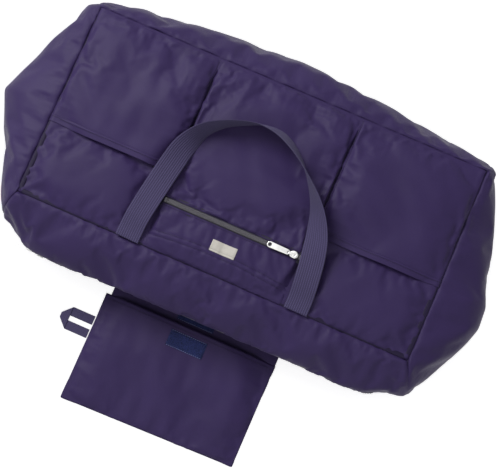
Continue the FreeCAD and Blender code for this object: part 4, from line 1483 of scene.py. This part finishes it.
def pull_parts():
    """A pull plate with a round hole at its free end, a dimple, a slot and a narrow tongue."""
    body = capsule(-29.0, 3.5, -8.0, 3.0)
    holes = [ring_outline(-28.9, 0, 2.15, 2.15), ring_outline(-7.2, 0, 0.55, 1.6, power=0.5)]
    parts = [plate(body, 3.3, 4.5, 0.32, holes)]
    tongue = ring_outline(-2.6, 0, 3.2, 1.25, n=36, power=0.35)
    parts.append(plate(tongue, 3.42, 4.38, 0.25))
    turn = np.linspace(0, 2 * np.pi, 24, endpoint=False)
    rim = np.stack([-17.5 + 1.7 * np.cos(turn), 1.7 * np.sin(turn), np.full(24, 4.47)], 1)
    parts.append(tube(rim, 0.16, 6, closed=True))
    return parts


def build_sliders():
    for name, place in (("pocket", pocket_place()), ("main", mouth_place())):
        slider = f"{name}_zip_slider"
        place.origin[0] = (low(slider)[0] + high(slider)[0]) / 2
        metal_piece(f"{name}_slider_body", slider_parts(), place, f"{name}_slider", slider)
        metal_piece(f"{name}_pull_plate", pull_parts(), place, f"{name}_pull", f"{name}_zip_pull")


def build_mouth_stitches(mouth):
    """Topstitching beside the zip, on both lips."""
    n = 120
    along = np.linspace(0.12, 0.88, n)
    lower, upper = mouth["lower"], mouth["upper"]
    at_zip = 2.2 * MM / arc_lengths(lower, 1)[-1]
    rows = [row_of_stitches(lower, along, np.full(n, 1 - at_zip))]
    stitch_piece("mouth_back_stitches", rows, "bag")
    at_zip = 2.2 * MM / arc_lengths(upper, 1)[-1]
    for name, sign in (("left", -1), ("right", 1)):
        first, last = sorted((0.5, 0.12 if upper[0, 0, 0] * sign > upper[-1, 0, 0] * sign else 0.88))
        share = np.linspace(first, last, n)
        rows = [row_of_stitches(upper, share, np.full(n, at_zip))]
        stitch_piece(f"mouth_front_stitches_{name}", rows, "bag", blend=lip_blend(sign))


def rows_at(grid, x):
    """Row numbers of a grid that runs along X, in either direction, at the given x."""
    line, rows = grid[:, grid.shape[1] // 2, 0], np.arange(len(grid))
    step = 1 if line[0] < line[-1] else -1
    return np.interp(x, line[::step], rows[::step])


def build_mouth_tabs(mouth):
    """A small cloth tab over each end of the mouth's zip, sewn down all round."""
    lo, hi = low("main_zip_tape")[0], high("main_zip_tape")[0]
    far = np.array([3, 6, 9]) * MM
    for name, middle, sign in (("left", lo, -1), ("right", hi, 1)):
        x = np.sort(middle + sign * np.linspace(-6 * MM, 15 * MM, 12))
        strips = []
        for lip in ("lower", "upper"):
            grid = mouth[lip]
            shares = far / arc_lengths(grid, 1)[-1]
            for share in 1 - shares[::-1] if lip == "lower" else shares:
                columns = np.full(len(x), share * (grid.shape[1] - 1))
                path, normals = along_grid(grid, rows_at(grid, x), columns)
                strips.append(path + normals * 0.9 * MM)
        piece, fine = cloth_piece(f"mouth_{name}_tab", np.stack(strips, 1))
        declare(piece, "bag")
        full, n = np.linspace(0.06, 0.94, 24), 24
        rows = [row_of_stitches(fine, full, np.full(n, share)) for share in (0.08, 0.92)]
        rows += [row_of_stitches(fine, np.full(n, share), full) for share in (0.08, 0.92)]
        stitch_piece(f"mouth_{name}_tab_stitches", rows, "bag")


# ---------------------------------------------------------------- storage pouch
POUCH_SHRINK = 4 * MM       # the sewn cloth draws in at its seams


def build_pouch():
    """The pouch: a flat back layer and a front layer that stands open at its mouth."""
    lo, hi = low("pouch_front") + (-1.5 * MM, 2 * MM, 0), high("pouch_front") - (POUCH_SHRINK, 0, 0)
    x, y = level_grid(lo[0], hi[0], lo[1], hi[1], 4 * MM)
    y = y + 1.5 * POUCH_SHRINK * (x - lo[0]) / (hi[0] - lo[0]) * (hi[1] - y) / (hi[1] - lo[1])
    edge = np.minimum(np.minimum(x - lo[0], hi[0] - x), y - lo[1])
    z = 0.45 * MM + 0.4 * MM * (1 - ramp(edge, 14 * MM))
    back = np.stack([x, y, z], -1)[::-1]
    piece, _ = cloth_piece("pouch_back_cloth", back, seed=71)
    declare(piece, "pouch", ["pouch_back"])
    side = np.minimum(x - lo[0], hi[0] - x)
    open_share = ramp(y - lo[1], 70 * MM)
    rise = ramp(side, 30 * MM) ** 0.8 * ramp(y - lo[1] + 4 * MM, 20 * MM)
    top = 1.3 * MM + (2.2 * MM + (hi[2] - 3.5 * MM) * open_share) * rise
    points = np.stack([x, y, top], -1)
    points = loose(points, 72, 1.8 * MM, 95 * MM)
    held = edges_held(points, high_column=0.0)
    points = settled(points, held, sizes().puff * 0.3, pressure=0.25, stiff=3.0, cap=3 * MM)
    piece, front = cloth_piece("pouch_front_cloth", points, seed=73, lowest=1.25 * MM,
                               sewn=("low row", "high row", "low column"))
    declare(piece, "pouch", ["pouch_front"])
    n = 80
    full = np.linspace(0.02, 0.98, n)
    length = arc_lengths(front, 1)[-1]
    rows = [row_of_stitches(front, full, np.full(n, 1 - 5.5 * MM / length)),
            row_of_stitches(front, full, np.full(n, 1 - 1.2 * MM / length))]
    stitch_piece("pouch_stitches", rows, "pouch")
    return front


def patch_piece(name, node, body, material, ground, lift):
    """A closing patch: short pile on a woven tape, its rim pressed down, with thread at both edges."""
    lo, hi = low(node), high(node)
    x, y = level_grid(lo[0], hi[0], lo[1], hi[1], 1.0 * MM)
    edge = from_rim(x, y, lo[0], hi[0], lo[1], hi[1])
    pile = 0.35 * MM + 0.8 * MM * ramp(edge - 0.9 * MM, 1.2 * MM)
    tufts = 0.10 * MM * ripple(81, x / (2.4 * MM), y / (2.4 * MM), octaves=2)
    tufts = tufts * ramp(edge - 0.9 * MM, 1.2 * MM)
    z = (height_on(ground, x, y) if ground is not None else lo[2]) + lift + pile + tufts
    points = refined(np.stack([x, y, z], -1), 2)
    piece = grid_object(name, points, MATERIALS[material])
    thickened(piece, 0.7 * MM)
    declare(piece, body, [node])
    n = 40
    full = np.linspace(0.015, 0.985, n)
    length = arc_lengths(points, 1)[-1]
    rows = []
    for share in (0.7 * MM / length, 1 - 0.7 * MM / length):
        rows.append(row_of_stitches(points, full, np.full(n, share), thick=0.5 * MM))
    stitch_piece(f"{name}_stitches", rows, body, "patch thread")


def build_patches(front):
    patch_piece("loop_patch_pile", "loop_patch", "pouch", "loop pile", front, 0.2 * MM)
    patch_piece("hook_patch_pile", "hook_patch", "flap", "hook pile", None, 0.05 * MM)


def build_flap():
    """The closing flap behind the pouch's mouth, its free edge hemmed."""
    lo, hi = low("pouch_flap"), high("pouch_flap")
    x, y = level_grid(lo[0], hi[0], lo[1] - 4 * MM, hi[1], 3 * MM)
    wave = 0.5 * MM * ripple(75, x / (50 * MM), y / (30 * MM), octaves=2) * ramp(y - lo[1], 8 * MM)
    z = hi[2] - 0.15 * MM + np.maximum(wave, -0.2 * MM) * (np.abs(x - (lo[0] + hi[0]) / 2) > 26 * MM)
    points = np.stack([x, y, z], -1)
    piece, flap = cloth_piece("pouch_flap_cloth", points, seed=76)
    fold_x, fold_y, fold_z = JOINTS["flap_fold"]["pos_m"]
    declare(piece, "pouch", ["pouch_flap"],
            ("flap", (fold_x, fold_y - 1 * MM, fold_z), (fold_x, fold_y + 5 * MM, fold_z)))
    n = 60
    full = np.linspace(0.02, 0.98, n)
    rows = [row_of_stitches(flap, full, np.full(n, 0.93))]
    stitch_piece("pouch_flap_stitches", rows, "flap")


# ---------------------------------------------------------------- stage
CAMERA_TARGET = (0.0240, 0.0255, 0.08)
CAMERA_DISTANCE = 1.35
CAMERA_TILT = 6.5           # degrees from straight down
PICTURE_UP = (-0.399, 0.917, 0.0)
LAMP_UP = (0, 1, 0.1)


def look_from(place, target, up):
    """A matrix that puts an object at a place, its -Z towards the target and its Y nearest to up."""
    back = (Vector(place) - Vector(target)).normalized()
    right = Vector(up).cross(back).normalized()
    turned = Matrix((right, back.cross(right), back)).transposed()
    return Matrix.Translation(place) @ turned.to_4x4()


def soft_light(name, direction, distance, size, power):
    """A round lamp that looks at the camera's target from a direction and a distance."""
    light = bpy.data.lights.new(name, "AREA")
    light.shape, light.size, light.energy = "DISK", size, power
    lamp = bpy.data.objects.new(name, light)
    bpy.context.scene.collection.objects.link(lamp)
    target = Vector(CAMERA_TARGET)
    place = target + Vector(direction).normalized() * distance
    lamp.matrix_world = look_from(place, target, LAMP_UP)
    return lamp


def build_stage():
    """A white floor lit by the sky alone, the sky, two lamps for the bag, and the camera."""
    material, tree, bsdf = shader("Pale floor")
    noise = tree.nodes.new("ShaderNodeTexNoise")
    noise.inputs["Scale"].default_value = 40
    place = tree.nodes.new("ShaderNodeTexCoord").outputs["Object"]
    tree.links.new(place, noise.inputs["Vector"])
    rough = math(tree, "MULTIPLY_ADD", noise.outputs["Fac"], 0.1, 0.75)
    tree.links.new(rough, bsdf.inputs["Roughness"])
    bsdf.inputs["Base Color"].default_value = (0.93, 0.93, 0.93, 1)
    bsdf.inputs["Emission Color"].default_value = (1, 1, 1, 1)
    bsdf.inputs["Emission Strength"].default_value = 0.62
    corners = np.array([(-4, -4, 0), (4, -4, 0), (4, 4, 0), (-4, 4, 0)], float)     # 8 m square
    floor = mesh_object("floor", corners, [(0, 1, 2, 3)], material)
    world = bpy.context.scene.world or bpy.data.worlds.new("Studio")
    bpy.context.scene.world = world
    world.use_nodes = True
    sky = world.node_tree.nodes["Background"].inputs
    sky["Color"].default_value, sky["Strength"].default_value = (1, 1, 1, 1), 0.62
    lit = bpy.data.collections.new("Lit by the lamps")      # everything but the floor
    lit.objects.link(floor)
    lit.collection_objects[0].light_linking.link_state = "EXCLUDE"
    for lamp in (soft_light("Key light", (-0.95, 0.5, 1.0), 2.0, 1.0, 46),
                 soft_light("Fill light", (0.1, -0.9, 1.3), 2.4, 1.8, 12)):
        lamp.light_linking.receiver_collection = lit
    lens = bpy.data.cameras.new("Camera")
    lens.lens, lens.sensor_width = 86.0, 36.0
    camera = bpy.data.objects.new("Camera", lens)
    bpy.context.scene.collection.objects.link(camera)
    tilt = np.radians(CAMERA_TILT)
    back = Vector((0, 0, 1)) * np.cos(tilt) - Vector(PICTURE_UP) * np.sin(tilt)
    target = Vector(CAMERA_TARGET)
    camera.matrix_world = look_from(target + back * CAMERA_DISTANCE, target, PICTURE_UP)
    bpy.context.scene.camera = camera
    bpy.context.scene.view_settings.view_transform = "Standard"


# ---------------------------------------------------------------- operators, panel and registration
GRIDS = {}


class TOTE_OT_stage(bpy.types.Operator):
    """Adds the floor, the studio light and the camera"""
    bl_idname = "tote.stage"
    bl_label = "Stage"

    def execute(self, context):
        build_stage()
        return {"FINISHED"}


class TOTE_OT_finishes(bpy.types.Operator):
    """Makes the cloth, webbing, tape, thread and metal materials"""
    bl_idname = "tote.finishes"
    bl_label = "Finishes"

    def execute(self, context):
        MATERIALS.update(make_materials())
        return {"FINISHED"}


class TOTE_OT_gussets(bpy.types.Operator):
    """Builds the base and end gussets, the mouth's lips and both seam bindings"""
    bl_idname = "tote.gussets"
    bl_label = "Gussets and bindings"

    def execute(self, context):
        build_gussets()
        GRIDS["mouth"] = build_mouth()
        build_mouth_stitches(GRIDS["mouth"])
        build_mouth_tabs(GRIDS["mouth"])
        for node in ("front_seam_binding", "back_seam_binding"):
            binding_ring(f"{node}_tape", node)
        return {"FINISHED"}


class TOTE_OT_front(bpy.types.Operator):
    """Builds both panels, the slip pockets, the zipped pocket, its facing, label and stitching"""
    bl_idname = "tote.front"
    bl_label = "Panels and pockets"

    def execute(self, context):
        build_panels()
        left, right = slip_pocket("left"), slip_pocket("right")
        pocket, facing = build_center()
        build_front_stitches(left, right, pocket, facing)
        build_label(facing)
        return {"FINISHED"}


class TOTE_OT_zips(bpy.types.Operator):
    """Builds the tapes, coils, stops, sliders and pulls of both zips"""
    bl_idname = "tote.zips"
    bl_label = "Zips"

    def execute(self, context):
        build_pocket_zip()
        build_mouth_zip()
        build_sliders()
        return {"FINISHED"}


class TOTE_OT_handles(bpy.types.Operator):
    """Builds the front and back handles' webbing"""
    bl_idname = "tote.handles"
    bl_label = "Handles"

    def execute(self, context):
        build_front_handle()
        build_back_handle()
        return {"FINISHED"}


class TOTE_OT_pouch(bpy.types.Operator):
    """Builds the storage pouch, its flap, patches and hanging loop"""
    bl_idname = "tote.pouch"
    bl_label = "Storage pouch"

    def execute(self, context):
        front = build_pouch()
        build_flap()
        build_patches(front)
        build_tab()
        return {"FINISHED"}


OPERATORS = (TOTE_OT_stage, TOTE_OT_finishes, TOTE_OT_gussets, TOTE_OT_front, TOTE_OT_zips,
             TOTE_OT_handles, TOTE_OT_pouch)


class TOTE_PT_panel(bpy.types.Panel):
    """Lists the bag's sizes, colours and building steps"""
    bl_label = "Foldable tote bag"
    bl_idname = "TOTE_PT_panel"
    bl_space_type = "VIEW_3D"
    bl_region_type = "UI"
    bl_category = "Tote"

    def draw(self, context):
        for group in (context.scene.tote_sizes, context.scene.tote_colours):
            box = self.layout.box()
            for name in group.bl_rna.properties.keys():
                if name not in ("rna_type", "name"):
                    box.prop(group, name)
        for operator in OPERATORS:
            self.layout.operator(operator.bl_idname)


CLASSES = (ToteSizes, ToteColours, *OPERATORS, TOTE_PT_panel)


def register():
    for cls in CLASSES:
        bpy.utils.register_class(cls)
    bpy.types.Scene.tote_sizes = bpy.props.PointerProperty(type=ToteSizes)
    bpy.types.Scene.tote_colours = bpy.props.PointerProperty(type=ToteColours)


def unregister():
    del bpy.types.Scene.tote_sizes
    del bpy.types.Scene.tote_colours
    for cls in reversed(CLASSES):
        bpy.utils.unregister_class(cls)


def main():
    register()
    bpy.ops.tote.stage()
    bpy.ops.tote.finishes()
    bpy.ops.tote.gussets()
    bpy.ops.tote.front()
    bpy.ops.tote.zips()
    bpy.ops.tote.handles()
    bpy.ops.tote.pouch()


if __name__ == "__main__":
    main()
